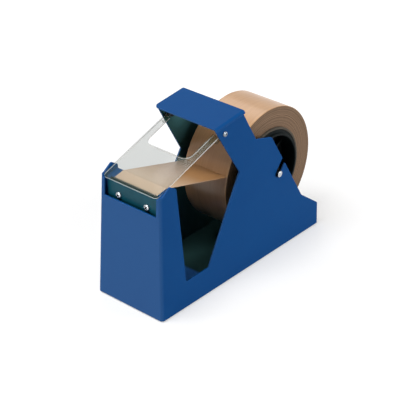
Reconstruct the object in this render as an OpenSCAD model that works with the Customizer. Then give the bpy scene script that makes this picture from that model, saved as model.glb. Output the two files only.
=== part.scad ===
// Bench dispenser for packing tape: a folded sheet-steel stand with a raked hood arm,
// a serrated cutter behind a hinged clear guard, and a lift-out reel.
// Millimetres, +Z up, the cutter faces -Y, the origin is on the floor under the middle.

/* [Tape] */
// Width of the tape
tape_w = 48; // [36:0.5:75]
// Outer diameter of the full roll
roll_d = 118.8; // [96:0.2:122]
// Inner diameter of the card core
core_d = 76; // [70:0.5:80]
// Wall of the card core
core_wall = 2; // [1.5:0.1:5]
// How far the core stands out of the roll on each side
core_proud = 1.8; // [0.2:0.1:3]
// Thickness of the free strip
strip_t = 0.3; // [0.2:0.05:0.5]
// Height of the peel line over the axle, as an angle on the roll
peel_angle = 15.5; // [5:0.5:25]

/* [Stand] */
// Overall length of the stand
body_l = 216.4; // [205:0.2:240]
// Room between the tape's edge and a side panel at the axle
side_room = 9.5; // [8:0.1:16]
// Lean of the side and front panels, degrees
lean = 2; // [0:0.1:3]
// Thickness of the steel sheet
sheet = 1.5; // [0.8:0.1:2]
// Outer radius of the folds
bend_r = 3; // [2.2:0.1:4]
// Rake of the arm, the notch and the back, degrees
rake = 60; // [57:0.5:63]
// Height of the notch's lower edge
notch_z = 26; // [20:0.5:32]
// Height of the arm's front corner over the notch
waist_z = 101.2; // [95:0.2:106]
// Height of the tail's rear edge
tail_h = 23.2; // [18:0.2:28]
// Height where the tail's sloping top meets the back
tail_top_z = 41.6; // [36:0.2:46]
// Length of the tail's sloping top
tail_run = 24.4; // [18:0.2:30]
// Height of the hump behind the arm
hump_z = 123.3; // [118:0.2:128]
// Fall of the hump towards the back, degrees
hump_fall = 16; // [5:1:25]
// Radius of the hump's rear corner
hump_r = 5; // [2:0.5:8]
// Radius of the small corners
corner_r = 2; // [0.5:0.1:3]

/* [Column] */
// Depth of the column at the notch
column_base_d = 31.7; // [28:0.1:36]
// Depth of the column at its rear top corner
column_top_d = 23.7; // [22.5:0.1:28]
// Height of the column's front corners
column_z = 117; // [114:0.2:124]
// Setback of the column's peak
peak_y = 16; // [13:0.2:19]
// Rise of the column's peak over its front corners
peak_rise = 6.4; // [3:0.1:8]
// Drop from the peak to the column's rear top corner
peak_drop = 5; // [3:0.1:7]

/* [Hood] */
// Setback of the hood's front edge
hood_y = 74.6; // [70:0.2:80]
// Height of the hood's front edge
hood_z = 151.9; // [148:0.1:158]
// Rise of the hood towards the back, degrees
hood_pitch = 6; // [2:0.5:10]
// Length of the arm's top along the floor
arm_w = 35.7; // [32:0.1:40]
// How far the hood runs past the back of the arm
hood_lip = 2.2; // [1:0.1:4]
// How far the hood stands out over the far side
hood_over = 5; // [2:0.1:6]
// Radius of the hood's far front corner
hood_r = 5; // [2:0.5:8]
// Radius of the hood's far rear corner
hood_rear_r = 1.5; // [0.5:0.5:6]

/* [Base] */
// Length of the floor sheet behind the front panel
floor_l = 158; // [60:1:170]
// Width of the bottom flanges of the sides
flange_w = 12; // [10:0.5:14]
// Length of the rear tie
tie_l = 16; // [12:0.5:24]
// Diameter of the rubber feet
foot_d = 10; // [8:0.5:12]
// Height of the rubber feet
foot_h = 1; // [0.6:0.1:3]

/* [Cutter] */
// Half width of the opening in the front panel
gate_half = 29; // [27:0.1:30]
// Height of the opening's lower edge
gate_z = 98.4; // [92:0.2:102]
// Setback of the clamp plate behind the front panel's foot
clamp_y = 7.8; // [7.6:0.1:9]
// Thickness of the clamp plate
clamp_t = 1.2; // [1:0.1:2]
// Height of the clamp plate
clamp_h = 21.4; // [18:0.2:22]
// How far the clamp plate runs down behind the front panel
clamp_lap = 7; // [4:0.5:8]
// Height of the blade screws over the opening's lower edge
screw_rise = 3.3; // [3:0.1:6]
// Height of the rear edge of the shelf on which the strip lies
rest_z = 116.3; // [114:0.1:118]
// Fall of that shelf towards the blade
rest_fall = 2.9; // [0.5:0.1:4]
// Depth of that shelf
rest_d = 14; // [10:0.1:14]
// Length of the shelf's front leg
rest_leg = 26; // [24:0.5:30]
// Outer radius of the shelf's folds
rest_r = 2.2; // [2:0.1:3.5]
// Thickness of the blade
blade_t = 0.8; // [0.5:0.1:1.2]
// Half width of the blade
blade_half = 27; // [25:0.5:28]
// Pitch of the blade's teeth
tooth_pitch = 2.2; // [1.8:0.1:4]
// Height of the blade's teeth
tooth_h = 2.6; // [1:0.1:2.8]
// Spacing of the two blade screws
screw_gap = 31.6; // [24:0.2:36]
// Diameter of the blade screws
screw_d = 3; // [2.5:0.5:4]
// Diameter of the blade screws' heads
screw_head_d = 5.7; // [5:0.1:7]
// Height of the blade screws' heads
screw_head_h = 2.1; // [1.5:0.1:2.6]
// Width of the cross recess in the heads
recess_w = 0.8; // [0.5:0.05:1]
// Width of the blade nuts across their flats
nut_af = 5.5; // [5:0.1:7]
// Height of the blade nuts
nut_h = 2.4; // [1.8:0.1:3]

/* [Guard] */
// Setback of the guard's hinge pins
pivot_y = 85.4; // [84:0.2:90]
// Height of the guard's hinge pins
pivot_z = 144.3; // [142:0.1:145]
// Setback of the guard's front edge
guard_y = 3.4; // [1:0.1:6]
// Height of the guard's lower face at its front edge
guard_z = 115.6; // [115.4:0.1:118]
// Thickness of the clear sheet
guard_t = 2; // [1.5:0.1:2.4]
// Width of the guard's arms
guard_arm = 6; // [5:0.1:10]
// Length of the guard's solid front part
guard_apron = 47; // [34:0.5:54]
// Radius of the guard's front corners
guard_r = 4; // [2:0.5:8]
// Radius of the cut-out's corners
cut_r = 8; // [3:0.5:12]
// Radius of the guard's ears
ear_r = 4.5; // [3.6:0.1:5]
// Diameter of the hinge pins
pin_d = 3; // [2:0.1:4]
// Diameter of the hinge pins' heads
pin_head_d = 4.8; // [4.4:0.1:6]
// Height of the hinge pins' heads
pin_head_h = 1.5; // [0.8:0.1:2]
// How far the pins stand in past the guard's ears
pin_reach = 2.6; // [1.5:0.1:4]
// Diameter of the caps on the pins' inner ends
cap_d = 5.2; // [4.8:0.1:6]
// Thickness of the hinge washers
washer_t = 0.5; // [0.3:0.1:0.8]

/* [Reel] */
// Setback of the axle
axle_y = 157; // [154:0.2:160]
// Height of the axle
axle_z = 78; // [75:0.2:82]
// Diameter of the axle
axle_d = 6.4; // [5:0.1:8]
// How far the axle stands out of the side panels
axle_out = 2.6; // [1:0.1:5]
// Slant of the open axle slots, degrees over the floor
slot_angle = 50; // [44:1:58]
// Wall of the hub's drum
hub_wall = 3; // [2:0.1:5]
// Thickness of the hub's web and ribs
hub_web = 2.4; // [1.6:0.1:4]
// Depth of the hub's dish under its rim
hub_dish = 16; // [10:0.5:18]
// Radius of the hub's boss
boss_r = 9; // [7:0.5:14]
// Step from the core's inner wall in to the hub's raised rim
rim_step = 2.8; // [1.5:0.1:4]
// Thickness of the hub's raised rim
rim_t = 2.2; // [1.6:0.1:3]
// How far the raised rim stands out of the core
rim_out = 2.8; // [1:0.1:3.4]
// Number of ribs in each hub half
hub_ribs = 6; // [4:1:10]
// Height of the hub's ribs over its web
rib_h = 4; // [2:0.5:6]
// Thickness of the axle's retaining rings
clip_t = 1; // [0.8:0.1:1.4]
// Diameter of the axle's retaining rings
clip_d = 12; // [10:0.5:14]
// Room between a retaining ring and the side panel
clip_room = 2.4; // [2:0.1:4]

/* [Fits] */
// Radial running fit of the hub on its axle and of the guard on its pins
run_fit = 0.05; // [0.02:0.01:0.1]
// Gap between pieces that move past each other
move_gap = 0.3; // [0.2:0.05:0.6]
// Gap between pieces that lie against each other
seat_gap = 0.1; // [0.05:0.05:0.2]

/* [Hidden] */
$fn = 64;

steel_blue = [0.11, 0.30, 0.55];
bright_steel = [0.78, 0.79, 0.80];
dark_teal = [0.09, 0.22, 0.27];
black_plastic = [0.06, 0.07, 0.07];
clear_plastic = [0.82, 0.86, 0.84, 0.4];
card = [0.72, 0.66, 0.56];
tape_tan = [0.80, 0.62, 0.44];
rubber = [0.12, 0.12, 0.12];

// Cutting tools run past what they cut by this much
past = 20;
// Steps in a rounded corner of an outline
function arc_steps(r) = max(5, ceil(2 * r));

roll_r = roll_d / 2;
core_r = core_d / 2;
core_out_r = core_r + core_wall;
slope = tan(lean);
run = 1 / tan(rake);

// Outer half width of the stand at a height
function half_at(z) = tape_w / 2 + side_room + sheet + (axle_z - z) * slope;
// Inner half width of the stand at a height
function inner_at(z) = half_at(z) - sheet;

// Points of an outline whose corners [y, z, radius] are rounded
function rounded(corners) = [
    for (i = [0 : len(corners) - 1])
        let (
            n = len(corners),
            p = [corners[i][0], corners[i][1]],
            a = [corners[(i + n - 1) % n][0], corners[(i + n - 1) % n][1]] - p,
            b = [corners[(i + 1) % n][0], corners[(i + 1) % n][1]] - p,
            ua = a / norm(a),
            ub = b / norm(b),
            half = acos(ua * ub) / 2,
            r = corners[i][2]
        )
        each r == 0 ? [p] :
            let (
                mid = (ua + ub) / norm(ua + ub),
                centre = p + mid * r / sin(half),
                first = p + ua * r / tan(half) - centre,
                last = p + ub * r / tan(half) - centre,
                start = atan2(first[1], first[0]),
                sweep = ((atan2(last[1], last[0]) - start + 540) % 360) - 180
            )
            [for (k = [0 : arc_steps(r)])
                let (turn = start + sweep * k / arc_steps(r))
                centre + r * [cos(turn), sin(turn)]]
];

// Moves from stations behind the front edge to the origin in the middle of the base
module station() {
    translate([0, -body_l / 2, 0]) children();
}

// Copies the near side's pieces to the far side
module both_sides() {
    children();
    mirror([1, 0, 0]) children();
}

// Extrudes a drawing in Y and Z across X from x0 to x1
module across(x0, x1) {
    translate([x0, 0, 0]) rotate([90, 0, 90]) linear_extrude(x1 - x0) children();
}

// A round bar along X at a station and height
module bar(x0, x1, y, z, r) {
    translate([x0, y, z]) rotate([0, 90, 0]) cylinder(h = x1 - x0, r = r);
}

// Side panels

waist_y = hood_y + (hood_z - waist_z) * run;
notch_rear_y = waist_y - (waist_z - notch_z) * run;
tail_y = body_l - tail_run;
hump_y = hood_y + arm_w + (hood_z - hump_z) * run;
hump_rear_y = (hump_z - tail_top_z + hump_y * tan(hump_fall) - tail_y * tan(rake))
              / (tan(hump_fall) - tan(rake));
hump_rear_z = hump_z - (hump_rear_y - hump_y) * tan(hump_fall);
panel_foot = foot_h;
flange_y = floor_l + sheet;
flange_end_y = body_l - sheet - corner_r;

// Outline of a side, whose arm ends drop below the hood's upper face
function side_outline(drop) = rounded([
    [bend_r + panel_foot * slope, panel_foot, 0],
    [body_l, panel_foot, corner_r / 2],
    [body_l, tail_h, corner_r],
    [tail_y, tail_top_z, corner_r],
    [hump_rear_y, hump_rear_z, hump_r],
    [hump_y, hump_z, corner_r / 2],
    [hood_y + arm_w, hood_z + arm_w * tan(hood_pitch) - drop, 0],
    [hood_y, hood_z - drop, 0],
    [waist_y, waist_z, corner_r / 2],
    [notch_rear_y, notch_z, corner_r],
    [column_base_d, notch_z, corner_r],
    [column_top_d, column_z + peak_rise - peak_drop, corner_r / 2],
    [peak_y, column_z + peak_rise, corner_r],
    [bend_r + column_z * slope, column_z, 0]
]);

slot_r = axle_d / 2 + seat_gap;
pivot_hole_r = pin_d / 2 + seat_gap;

// Leaning sheet with the folded front corner, for the near side
module side_sheet(drop) {
    translate([half_at(0), 0, 0]) rotate([0, -lean, 0]) {
        across(-sheet, 0) polygon(side_outline(drop));
        translate([0, panel_foot * slope, panel_foot]) rotate([-lean, 0, 0])
            linear_extrude(column_z - panel_foot) translate([-bend_r, bend_r]) intersection() {
                difference() {
                    circle(bend_r);
                    circle(bend_r - sheet);
                }
                translate([0, -bend_r]) square(bend_r);
            }
    }
}

// A side with its flange, its axle slot and its hinge hole
module side_panel(drop) {
    difference() {
        union() {
            side_sheet(drop);
            translate([inner_at(0) - flange_w, flange_y, panel_foot])
                cube([flange_w + sheet / 2, flange_end_y - flange_y, sheet]);
        }
        axle_slot();
        bar(0, half_at(0) + past, pivot_y, pivot_z, pivot_hole_r);
    }
}

// Open slot from the axle's seat out through the back
module axle_slot() {
    bar(0, half_at(0) + past, axle_y, axle_z, slot_r);
    translate([0, axle_y, axle_z]) rotate([slot_angle, 0, 0])
        translate([0, 0, -slot_r]) cube([half_at(0) + past, past, 2 * slot_r]);
}

module right_side_panel() {
    color(steel_blue) station() side_panel(bend_r);
}

module left_side_panel() {
    color(steel_blue) station() mirror([1, 0, 0]) side_panel(sheet);
}

// Front panel, floor and tail

post_z = guard_z - move_gap;
front_foot_half = half_at(panel_foot) - bend_r;
front_top_half = half_at(post_z) - bend_r;

module front_panel() {
    color(steel_blue) station() translate([0, panel_foot * slope, panel_foot]) rotate([90 - lean, 0, 0])
        translate([0, 0, -sheet]) linear_extrude(sheet) polygon(rounded([
            [-front_foot_half, 0, 0],
            [front_foot_half, 0, 0],
            [front_top_half, post_z - panel_foot, 0],
            [gate_half, post_z - panel_foot, 0],
            [gate_half, gate_z - panel_foot, corner_r / 2],
            [-gate_half, gate_z - panel_foot, corner_r / 2],
            [-gate_half, post_z - panel_foot, 0],
            [-front_top_half, post_z - panel_foot, 0]
        ]));
}

floor_half = inner_at(panel_foot + sheet) - seat_gap;
floor_front_y = sheet + 2 * seat_gap;

module base_plate() {
    color(steel_blue) station() translate([0, 0, panel_foot]) linear_extrude(sheet) polygon(rounded([
        [-floor_half, floor_front_y, corner_r],
        [floor_half, floor_front_y, corner_r],
        [floor_half, floor_l, 0],
        [-floor_half, floor_l, 0]
    ]));
}

tie_y = flange_end_y - tie_l;
tie_half = inner_at(0) - sheet;

module rear_tie() {
    color(steel_blue) station() translate([-tie_half, tie_y, panel_foot + sheet])
        cube([2 * tie_half, tie_l, sheet]);
}

foot_x = inner_at(0) - flange_w / 2;
foot_front_y = bend_r + foot_d;
foot_rear_y = tie_y + tie_l / 2;

module rubber_feet() {
    color(rubber) station() both_sides()
        for (y = [foot_front_y, foot_rear_y])
            translate([foot_x, y, 0]) cylinder(h = foot_h, d = foot_d);
}

// Hood

hood_half = half_at(hood_z - bend_r);
hood_l = arm_w / cos(hood_pitch) + hood_lip;

module hood() {
    color(steel_blue) station() translate([0, hood_y, hood_z]) rotate([hood_pitch, 0, 0]) {
        translate([0, 0, -sheet]) linear_extrude(sheet) polygon(rounded([
            [-hood_half - hood_over, 0, hood_r],
            [hood_half - bend_r, 0, 0],
            [hood_half - bend_r, hood_l, 0],
            [-hood_half - hood_over, hood_l, hood_rear_r]
        ]));
        translate([hood_half - bend_r, 0, -bend_r]) rotate([-90, 0, 0]) linear_extrude(hood_l)
            intersection() {
                difference() {
                    circle(bend_r);
                    circle(bend_r - sheet);
                }
                translate([0, -bend_r]) square(bend_r);
            }
    }
}

// Cutter

blade_y = clamp_y + clamp_t;
rest_y = blade_y + blade_t;
rest_half = inner_at(rest_z) - seat_gap;
rest_tilt = atan2(rest_fall, rest_d);
edge_z = rest_z - rest_fall;
clamp_z = gate_z - clamp_lap;
screw_z = gate_z + screw_rise;
screw_hole_r = screw_d / 2 + seat_gap;
screw_head_r = screw_head_d / 2;

// Holes for the two blade screws, along Y
module screw_holes() {
    for (side = [-1, 1])
        translate([side * screw_gap / 2, 0, screw_z]) rotate([-90, 0, 0])
            cylinder(h = rest_y + past, r = screw_hole_r);
}

// Folded channel section of the shelf, whose top falls towards the blade
module rest_section() {
    step = sheet * tan(rest_tilt);
    drop = sheet / cos(rest_tilt);
    difference() {
        polygon(rounded([
            [rest_y, rest_z - rest_leg, 0],
            [rest_y + rest_d, rest_z - rest_leg / 2, 0],
            [rest_y + rest_d, rest_z, rest_r],
            [rest_y, edge_z, rest_r]
        ]));
        polygon(rounded([
            [rest_y + sheet, rest_z - rest_leg - past, 0],
            [rest_y + rest_d - sheet, rest_z - rest_leg - past, 0],
            [rest_y + rest_d - sheet, rest_z - step - drop, rest_r - sheet],
            [rest_y + sheet, edge_z + step - drop, rest_r - sheet]
        ]));
    }
}

module tape_rest() {
    color(steel_blue) station() difference() {
        across(-rest_half, rest_half) rest_section();
        screw_holes();
    }
}

tooth_count = floor(2 * blade_half / tooth_pitch);
tooth_run = 2 * blade_half / tooth_count;

module cutter_blade() {
    color(bright_steel) station() difference() {
        translate([0, rest_y, 0]) rotate([90, 0, 0]) linear_extrude(blade_t) polygon(concat(
            [[-blade_half, clamp_z], [blade_half, clamp_z]],
            [for (i = [0 : 2 * tooth_count])
                [blade_half - i * tooth_run / 2, edge_z + (i % 2) * tooth_h]]
        ));
        screw_holes();
    }
}

clamp_half = gate_half - move_gap;

module blade_clamp() {
    color(dark_teal) station() difference() {
        translate([0, blade_y, 0]) rotate([90, 0, 0]) linear_extrude(clamp_t) polygon(rounded([
            [-clamp_half, clamp_z, corner_r / 2],
            [clamp_half, clamp_z, corner_r / 2],
            [clamp_half, clamp_z + clamp_h, corner_r / 2],
            [-clamp_half, clamp_z + clamp_h, corner_r / 2]
        ]));
        screw_holes();
    }
}

screw_end_y = rest_y + sheet + nut_h + screw_d / 4;
recess_half = screw_head_r - 1.5 * recess_w;

module blade_screws() {
    color(bright_steel) station() for (side = [-1, 1])
        translate([side * screw_gap / 2, 0, screw_z]) rotate([-90, 0, 0]) difference() {
            union() {
                translate([0, 0, clamp_y]) cylinder(h = screw_end_y - clamp_y, d = screw_d);
                translate([0, 0, clamp_y - screw_head_h]) rotate_extrude() polygon(rounded([
                    [0, 0, 0],
                    [screw_head_r, 0, screw_head_h / 2],
                    [screw_head_r, screw_head_h, 0],
                    [0, screw_head_h, 0]
                ]));
            }
            for (turn = [0, 90])
                rotate([0, 0, turn + 45])
                    translate([-recess_half, -recess_w / 2, clamp_y - screw_head_h - past])
                        cube([2 * recess_half, recess_w, past + screw_head_h / 2]);
        }
}

module blade_nuts() {
    color(bright_steel) station() for (side = [-1, 1])
        translate([side * screw_gap / 2, rest_y + sheet, screw_z]) rotate([-90, 0, 0]) difference() {
            cylinder(h = nut_h, d = nut_af / cos(30), $fn = 6);
            translate([0, 0, -past]) cylinder(h = nut_h + 2 * past, r = screw_d / 2 + seat_gap / 2);
        }
}

// Guard

ear_out = inner_at(pivot_z) - washer_t - move_gap;
ear_in = ear_out - guard_t;
guard_half = ear_out;
guard_run = pivot_y - guard_y;
guard_pitch = atan2(pivot_z - guard_t / 2 - guard_z, guard_run);
guard_l = guard_run / cos(guard_pitch);
arm_end = guard_l - cap_d / 2 - 2 * move_gap - corner_r;
pin_hole_r = pin_d / 2 + run_fit;

// Sheet in its own plane, from its front edge towards the pins
module guard_plan() {
    difference() {
        polygon(rounded([
            [-guard_half, 0, guard_r],
            [guard_half, 0, guard_r],
            [guard_half, arm_end, 0],
            [-guard_half, arm_end, 0]
        ]));
        polygon(rounded([
            [-guard_half + guard_arm, guard_apron, cut_r],
            [guard_half - guard_arm, guard_apron, cut_r],
            [guard_half - guard_arm, arm_end + past, 0],
            [-guard_half + guard_arm, arm_end + past, 0]
        ]));
    }
}

// Upright ear at the end of an arm, drawn from the pin forwards
module ear() {
    difference() {
        union() {
            bar(ear_in, ear_out, guard_l, 0, ear_r);
            translate([ear_in, arm_end - ear_r, -ear_r])
                cube([guard_t, guard_l - arm_end + ear_r, ear_r + guard_t / 2]);
        }
        bar(ear_in - past, ear_out + past, guard_l, 0, pin_hole_r);
    }
}

module clear_guard() {
    color(clear_plastic) station()
        translate([0, pivot_y, pivot_z]) rotate([guard_pitch, 0, 0]) translate([0, -guard_l, 0]) {
            translate([0, 0, -guard_t / 2]) linear_extrude(guard_t) guard_plan();
            both_sides() ear();
        }
}

pin_head_r = pin_head_d / 2;
pin_in = ear_in - pin_reach;

module guard_pins() {
    color(bright_steel) station() both_sides() {
        bar(pin_in, half_at(pivot_z) + seat_gap, pivot_y, pivot_z, pin_d / 2);
        translate([half_at(pivot_z) + seat_gap, pivot_y, pivot_z]) rotate([0, 90, 0])
            rotate_extrude() polygon(rounded([
                [0, 0, 0],
                [pin_head_r, 0, 0],
                [pin_head_r, pin_head_h, pin_head_h - seat_gap],
                [0, pin_head_h, 0]
            ]));
    }
}

washer_r = ear_r - move_gap;

module guard_washers() {
    color(black_plastic) station() both_sides() difference() {
        bar(ear_out + move_gap / 2, ear_out + move_gap / 2 + washer_t, pivot_y, pivot_z, washer_r);
        bar(ear_out - past, ear_out + past, pivot_y, pivot_z, pin_hole_r);
    }
}

module guard_nuts() {
    color(bright_steel) station() both_sides() difference() {
        bar(pin_in - washer_t, ear_in - move_gap / 2, pivot_y, pivot_z, cap_d / 2);
        bar(pin_in, ear_in + past, pivot_y, pivot_z, pin_d / 2 + seat_gap / 2);
    }
}

// Tape

strip_y = rest_y + seat_gap;
strip_r = rest_r + seat_gap / 2;
peel_r = roll_r + move_gap;
peel = [axle_y - peel_r * cos(peel_angle), axle_z + peel_r * sin(peel_angle)];
// Centre of the shelf's rear fold, over which the strip bends
fold = [rest_y + rest_d - rest_r, rest_z - rest_r * (tan(rest_tilt) + 1 / cos(rest_tilt))];
strip_z = fold[1] + (strip_y - fold[0]) * tan(rest_tilt) + strip_r / cos(rest_tilt);
fall = asin(strip_r / norm(peel - fold)) - atan2(peel[1] - fold[1], peel[0] - fold[0]);

// Strip from the blade up the shelf and down to the roll, clear of the fold by its seat
module strip_section() {
    half_turn = (fall + rest_tilt) / 2;
    way = (fall - rest_tilt) / 2;
    out = [sin(way), cos(way)] / cos(half_turn);
    polygon([
        [strip_y, strip_z],
        fold + strip_r * out,
        peel,
        peel + strip_t * [sin(fall), cos(fall)],
        fold + (strip_r + strip_t) * out,
        [strip_y, strip_z + strip_t / cos(rest_tilt)]
    ]);
}

module tape_strip() {
    color(tape_tan) station() across(-tape_w / 2, tape_w / 2) strip_section();
}

module tape_roll() {
    color(tape_tan) station() difference() {
        bar(-tape_w / 2, tape_w / 2, axle_y, axle_z, roll_r);
        bar(-tape_w, tape_w, axle_y, axle_z, core_out_r);
    }
}

core_half = tape_w / 2 + core_proud;

module paper_core() {
    color(card) station() difference() {
        bar(-core_half, core_half, axle_y, axle_z, core_out_r - seat_gap / 2);
        bar(-tape_w, tape_w, axle_y, axle_z, core_r);
    }
}

// Reel

boss_end = inner_at(axle_z) - clip_room - clip_t - move_gap / 2;
drum_r = core_r - seat_gap;
drum_in = drum_r - hub_wall;
drum_end = core_half - seat_gap;
rim_r = core_r - rim_step;
rim_in = rim_r - rim_t;
rim_end = core_half + rim_out;
web_x = rim_end - hub_dish;
hub_bore_r = axle_d / 2 + run_fit;
hub_in = seat_gap / 2;
edge_cut = rim_t / 4;

// Half section of a hub half: radius over distance from the middle
module hub_section() {
    polygon([
        [hub_bore_r, hub_in],
        [boss_r, hub_in],
        [boss_r, web_x - hub_web],
        [drum_in, web_x - hub_web],
        [drum_in, hub_in],
        [drum_r, hub_in],
        [drum_r, drum_end - edge_cut],
        [drum_r - edge_cut, drum_end],
        [rim_r, drum_end],
        [rim_r, rim_end - edge_cut],
        [rim_r - edge_cut, rim_end],
        [rim_in, rim_end],
        [rim_in, web_x],
        [boss_r, web_x],
        [boss_r, boss_end],
        [hub_bore_r, boss_end]
    ]);
}

module hub_half() {
    rib_from = boss_r - hub_wall / 2;
    rib_to = rim_in + rim_t / 2;
    translate([0, axle_y, axle_z]) rotate([0, 90, 0]) {
        rotate_extrude() hub_section();
        for (i = [0 : hub_ribs - 1])
            rotate([0, 0, (i + 0.5) * 360 / hub_ribs])
                translate([rib_from, -hub_web / 2, web_x - hub_web / 2])
                    cube([rib_to - rib_from, hub_web, hub_web / 2 + rib_h]);
    }
}

module right_hub() {
    color(black_plastic) station() hub_half();
}

module left_hub() {
    color(black_plastic) station() mirror([1, 0, 0]) hub_half();
}

axle_half = half_at(axle_z) + axle_out;
axle_chamfer = axle_d / 10;
groove_d = axle_d - 2 * axle_chamfer;
clip_x = boss_end + move_gap / 2;

module axle() {
    color(bright_steel) station() translate([0, axle_y, axle_z]) rotate([0, 90, 0]) rotate_extrude()
        polygon([
            [0, -axle_half],
            [axle_d / 2 - axle_chamfer, -axle_half],
            [axle_d / 2, -axle_half + axle_chamfer],
            [axle_d / 2, -clip_x - clip_t],
            [groove_d / 2, -clip_x - clip_t],
            [groove_d / 2, -clip_x],
            [axle_d / 2, -clip_x],
            [axle_d / 2, clip_x],
            [groove_d / 2, clip_x],
            [groove_d / 2, clip_x + clip_t],
            [axle_d / 2, clip_x + clip_t],
            [axle_d / 2, axle_half - axle_chamfer],
            [axle_d / 2 - axle_chamfer, axle_half],
            [0, axle_half]
        ]);
}

module axle_clips() {
    color(bright_steel) station() both_sides() difference() {
        bar(clip_x, clip_x + clip_t, axle_y, axle_z, clip_d / 2);
        bar(0, axle_half, axle_y, axle_z, groove_d / 2);
        translate([0, axle_y - groove_d / 2, axle_z - clip_d])
            cube([axle_half, groove_d, clip_d]);
    }
}

right_side_panel();
left_side_panel();
front_panel();
hood();
base_plate();
rear_tie();
rubber_feet();
tape_rest();
cutter_blade();
blade_clamp();
blade_screws();
blade_nuts();
guard_pins();
guard_washers();
guard_nuts();
clear_guard();
tape_strip();
axle();
axle_clips();
right_hub();
left_hub();
paper_core();
tape_roll();
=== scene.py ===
"""Looks of a bench dispenser for packing tape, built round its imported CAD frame.

A folded sheet-steel stand carries a serrated cutter under a hinged clear guard, and a lift-out reel.
Sizes are millimetres from the stand's front foot edge, its stations; station() turns them into
metres in the frame of the CAD model, where the cutter faces -Y and +Z is up.
"""

import logging
import math
from dataclasses import dataclass, field
from enum import Enum
from typing import Any, ClassVar, Sequence

import bmesh
import bpy
from mathutils import Matrix, Vector

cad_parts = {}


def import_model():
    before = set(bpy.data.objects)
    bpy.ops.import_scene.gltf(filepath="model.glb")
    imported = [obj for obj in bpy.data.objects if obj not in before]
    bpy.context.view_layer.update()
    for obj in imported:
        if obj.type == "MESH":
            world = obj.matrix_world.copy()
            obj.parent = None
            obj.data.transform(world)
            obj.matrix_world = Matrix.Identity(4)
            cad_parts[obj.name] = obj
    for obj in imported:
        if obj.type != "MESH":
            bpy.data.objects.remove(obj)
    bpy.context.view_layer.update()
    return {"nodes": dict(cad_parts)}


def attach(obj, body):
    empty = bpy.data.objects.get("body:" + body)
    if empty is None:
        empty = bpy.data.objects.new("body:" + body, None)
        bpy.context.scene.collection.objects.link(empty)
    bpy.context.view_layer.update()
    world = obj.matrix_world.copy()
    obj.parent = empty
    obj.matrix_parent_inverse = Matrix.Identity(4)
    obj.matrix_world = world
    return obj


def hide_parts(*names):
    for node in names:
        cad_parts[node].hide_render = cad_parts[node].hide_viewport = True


Mesh = bmesh.types.BMesh
Tree = bpy.types.NodeTree
Node = bpy.types.Node
Socket = bpy.types.NodeSocket
Object = bpy.types.Object
Pair = tuple[float, float]
Triple = tuple[float, float, float]
Inputs = dict[str | int, Any]

LOG = logging.getLogger("dispenser")
MM = 0.001
MID_STATION = 108.2
# Station and height of the reel's axis
AXLE = (157.0, 78.0)
# Half width and teeth of the blade, which the torn end of the tape follows
BLADE_HALF = 27.0
TEETH = 24
# Edges that turn less than the first angle are shaded smooth, those over the second count as sharp
SMOOTH_ANGLE = math.radians(35)
SHARP_ANGLE = math.radians(50)
# Largest turn between two points of a rounded corner
ARC_STEP = math.radians(12)


class Body(Enum):
    """Bodies of the CAD model that pieces ride on."""

    STAND = "frame"
    GUARD = "guard"
    AXLE = "axle"
    REEL = "reel"


class Slot(Enum):
    """Material slots of the record."""

    BLUE = "blue_paint"
    STEEL = "bright_steel"
    DARK = "dark_paint"
    PLASTIC = "black_plastic"
    CLEAR = "clear_plastic"
    CARD = "core_card"
    TAPE = "brown_tape"
    RUBBER = "foot_rubber"


class Side(Enum):
    """The stand's two sides, as signs of X."""

    RIGHT = 1
    LEFT = -1


class Join(Enum):
    """How one solid is combined with another."""

    ADD = "UNION"
    CUT = "DIFFERENCE"


# Small helpers


def station(x: float, y: float, z: float) -> Vector:
    """Turns millimetres from the front foot edge into metres in the CAD frame."""
    return Vector((x, y - MID_STATION, z)) * MM


def linear(hex_colour: str) -> tuple[float, float, float, float]:
    """Turns an sRGB colour into linear light.

    Args:
        hex_colour: Colour as "#RRGGBB".

    Returns:
        Linear red, green, blue and an alpha of 1.
    """
    channels = [int(hex_colour[i : i + 2], 16) / 255 for i in (1, 3, 5)]
    light = [c / 12.92 if c <= 0.04045 else ((c + 0.055) / 1.055) ** 2.4 for c in channels]
    return (light[0], light[1], light[2], 1.0)


def per_metre(size_mm: float) -> float:
    """Returns the texture scale whose features are size_mm wide."""
    return 1.0 / (size_mm * MM)


def feed(node: Node, inputs: Inputs) -> None:
    """Sets inputs of a node to values, or links them to sockets.

    Args:
        node: Node with the inputs.
        inputs: Values or output sockets, by input name or number.
    """
    for key, value in inputs.items():
        if isinstance(value, Socket):
            node.id_data.links.new(value, node.inputs[key])
        else:
            node.inputs[key].default_value = value


def add_node(tree: Tree, kind: str, inputs: Inputs | None = None, **settings: Any) -> Socket | None:
    """Adds one node with its settings, its input values and its incoming links.

    Args:
        tree: Node tree that gets the node.
        kind: Blender's type name of the node, after "ShaderNode".
        inputs: Values or output sockets for its inputs, by input name or number.
        **settings: Properties of the node.

    Returns:
        The node's first output in use, or None where it has no output.
    """
    node = tree.nodes.new(f"ShaderNode{kind}")
    for key, value in settings.items():
        setattr(node, key, value)
    feed(node, inputs or {})
    return next((socket for socket in node.outputs if socket.enabled), None)


def fresh_tree(owner: bpy.types.Material | bpy.types.World) -> Tree:
    """Empties the node tree of a new material or world.

    Args:
        owner: The material or world.

    Returns:
        Its empty tree.
    """
    owner.use_nodes = True
    owner.node_tree.nodes.clear()
    return owner.node_tree


def in_scene(name: str, data: bpy.types.ID) -> Object:
    """Puts data into the scene as an object.

    Args:
        name: Name of the object.
        data: Its mesh, lamp or camera.

    Returns:
        The object.
    """
    made = bpy.data.objects.new(name, data)
    bpy.context.scene.collection.objects.link(made)
    return made


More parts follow.
